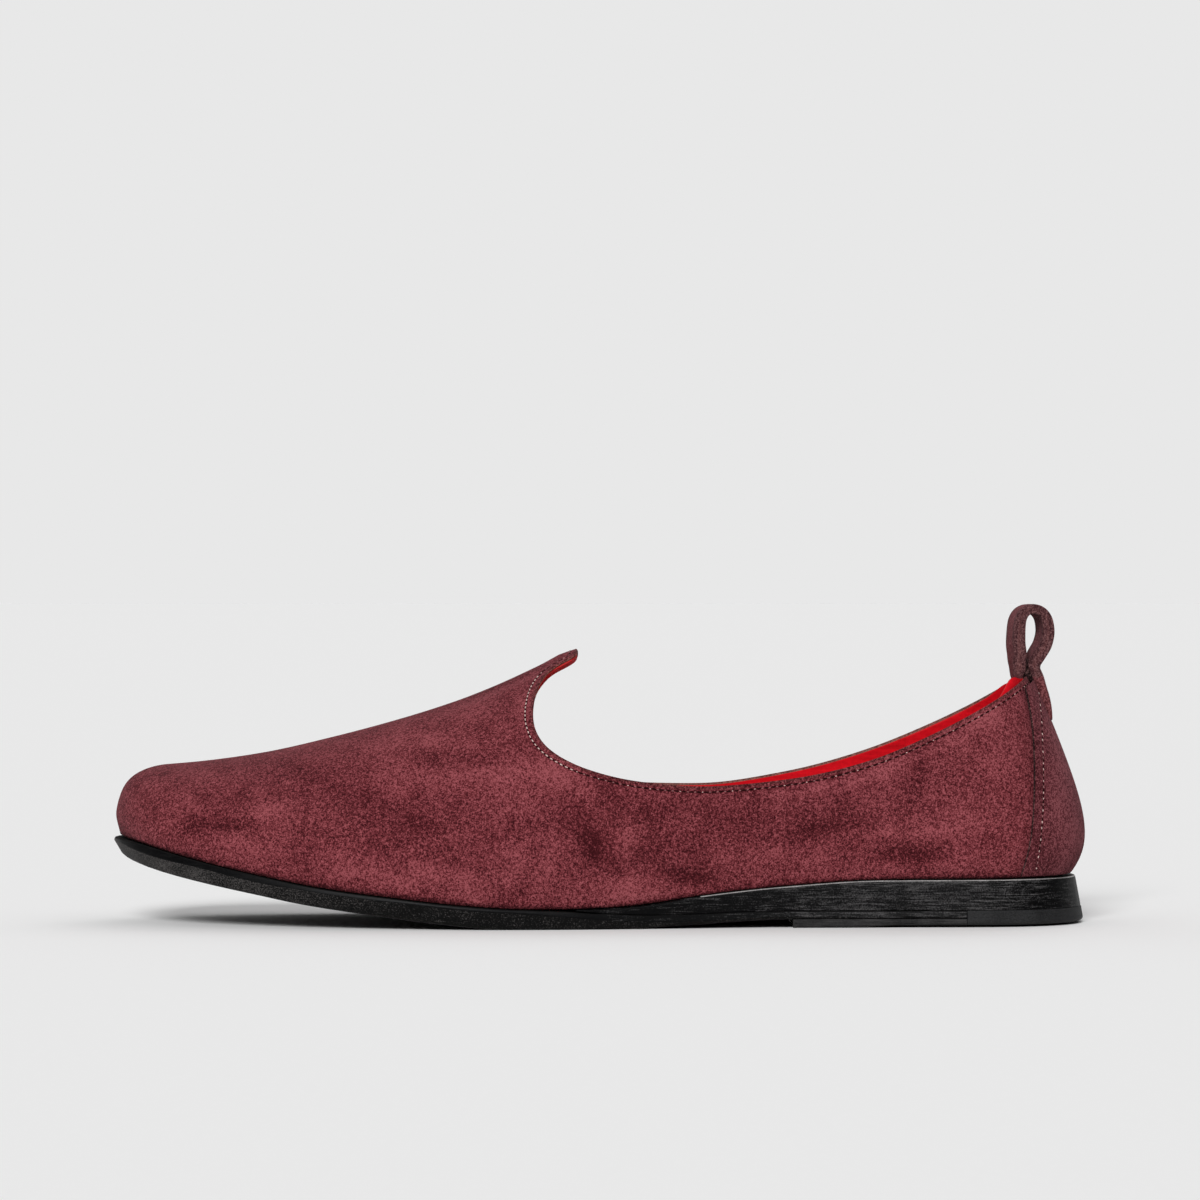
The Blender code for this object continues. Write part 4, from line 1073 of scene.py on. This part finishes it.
skin = cad_skin("outsole")
TRIMMED = 24                                   # degrees: corners of the trimmed sole and heel
round_off(skin, sharp_edges(skin, TRIMMED), 0.25 * MM, clamp=False)
skin.normal_update()
WAXED, SLANTED, TREAD, SANDED, LEDGE = range(5)
WAIST = 2 * MM                                 # behind this the edge is sanded with the wedge
for face in skin.faces:
    down, y = -face.normal.z, face.calc_center_median().y
    face.material_index = (TREAD if down > 0.96 else SLANTED if down > 0.22
                           else LEDGE if down < -0.45 else SANDED if y > WAIST else WAXED)
for vert in skin.verts:                        # the glued joint to the wedge stands closed
    if vert.normal.z > 0.3 and vert.co.y > WAIST:
        vert.co.z += 0.22 * MM
stack_finish = finish("sanded_stack", sanded_stack, **{"Specular IOR Level": 0.06})
softened(put_together("leather_outsole", skin,
                      (finish("waxed_edge", waxed_edge, **{"Specular IOR Level": 0.07}),
                       finish("slanted_edge", slanted_edge, **{"Specular IOR Level": 0.05}),
                       finish("sole_leather", sole_leather, **{"Specular IOR Level": 0.3}),
                       stack_finish,
                       finish("hidden_ledge", hidden_ledge, **{"Specular IOR Level": 0.1})),
                      "outsole"))

# ---- heel wedge -------------------------------------------------------------------------------
# Leather between sole and upper, built up in layers, sanded level and inked black, so the grain
# runs along it. The rim under the upper is rounded, and its pale grey is a painted highlight.
def rim_highlight(tree, shader):
    inked(tree, shader, (0.070, 0.067, 0.067), (0.380, 0.368, 0.364), 1.4, 1.4, 1.6, 0.55, 0.3,
          (0.35, 0.5))


skin = cad_skin("heel_wedge")
RIM_HIGHLIGHT_FROM = 31 * MM
rounded = round_off(skin, sharp_edges(skin, TRIMMED), 0.3 * MM, clamp=False)
skin.normal_update()
# the upward rim faces from here back are painted pale grey as a highlight
for face in rounded:
    if face.normal.z > 0.3 and face.calc_center_median().y > RIM_HIGHLIGHT_FROM:
        face.material_index = 1
rim_highlight_finish = finish("rim_highlight", rim_highlight, **{"Specular IOR Level": 0.4})
softened(put_together("stacked_wedge", skin, (stack_finish, rim_highlight_finish), "heel_wedge"))

# ---- heel lift and rubber ---------------------------------------------------------------------
# A leather top lift carries the front of the heel and a rubber quarter its back corner, glued from
# below and trimmed flush with the wedge.
CLOSED_BY = 0.27 * MM


def lift_edge(tree, shader):
    inked(tree, shader, (0.004, 0.004, 0.0045), (0.055, 0.053, 0.053), 1.6, 0.8, 1.0, 0.30, 0.3,
          (0.45, 0.65))


def moulded_rubber(tree, shader):
    inked(tree, shader, (0.010, 0.010, 0.0105), (0.038, 0.038, 0.039), 0.5, 1.4, 0.8, 0.30, 0.3,
          (0.5, 0.7))


for node, made, filled, slot in (("top_lift", "leather_lift", lift_edge, "lift_leather"),
                                 ("heel_rubber", "rubber_quarter", moulded_rubber, "rubber")):
    skin = cad_skin(node)
    skin.normal_update()
    for vert in skin.verts:              # glued joints stand closed
        if vert.normal.z > 0.3:
            vert.co.z += CLOSED_BY
        if node == "heel_rubber" and vert.normal.y < -0.3:
            vert.co.y -= CLOSED_BY
    round_off(skin, sharp_edges(skin, TRIMMED), 0.2 * MM, clamp=False)
    softened(put_together(made, skin, (finish(made, filled, **{"Specular IOR Level": 0.08}),),
                          node))
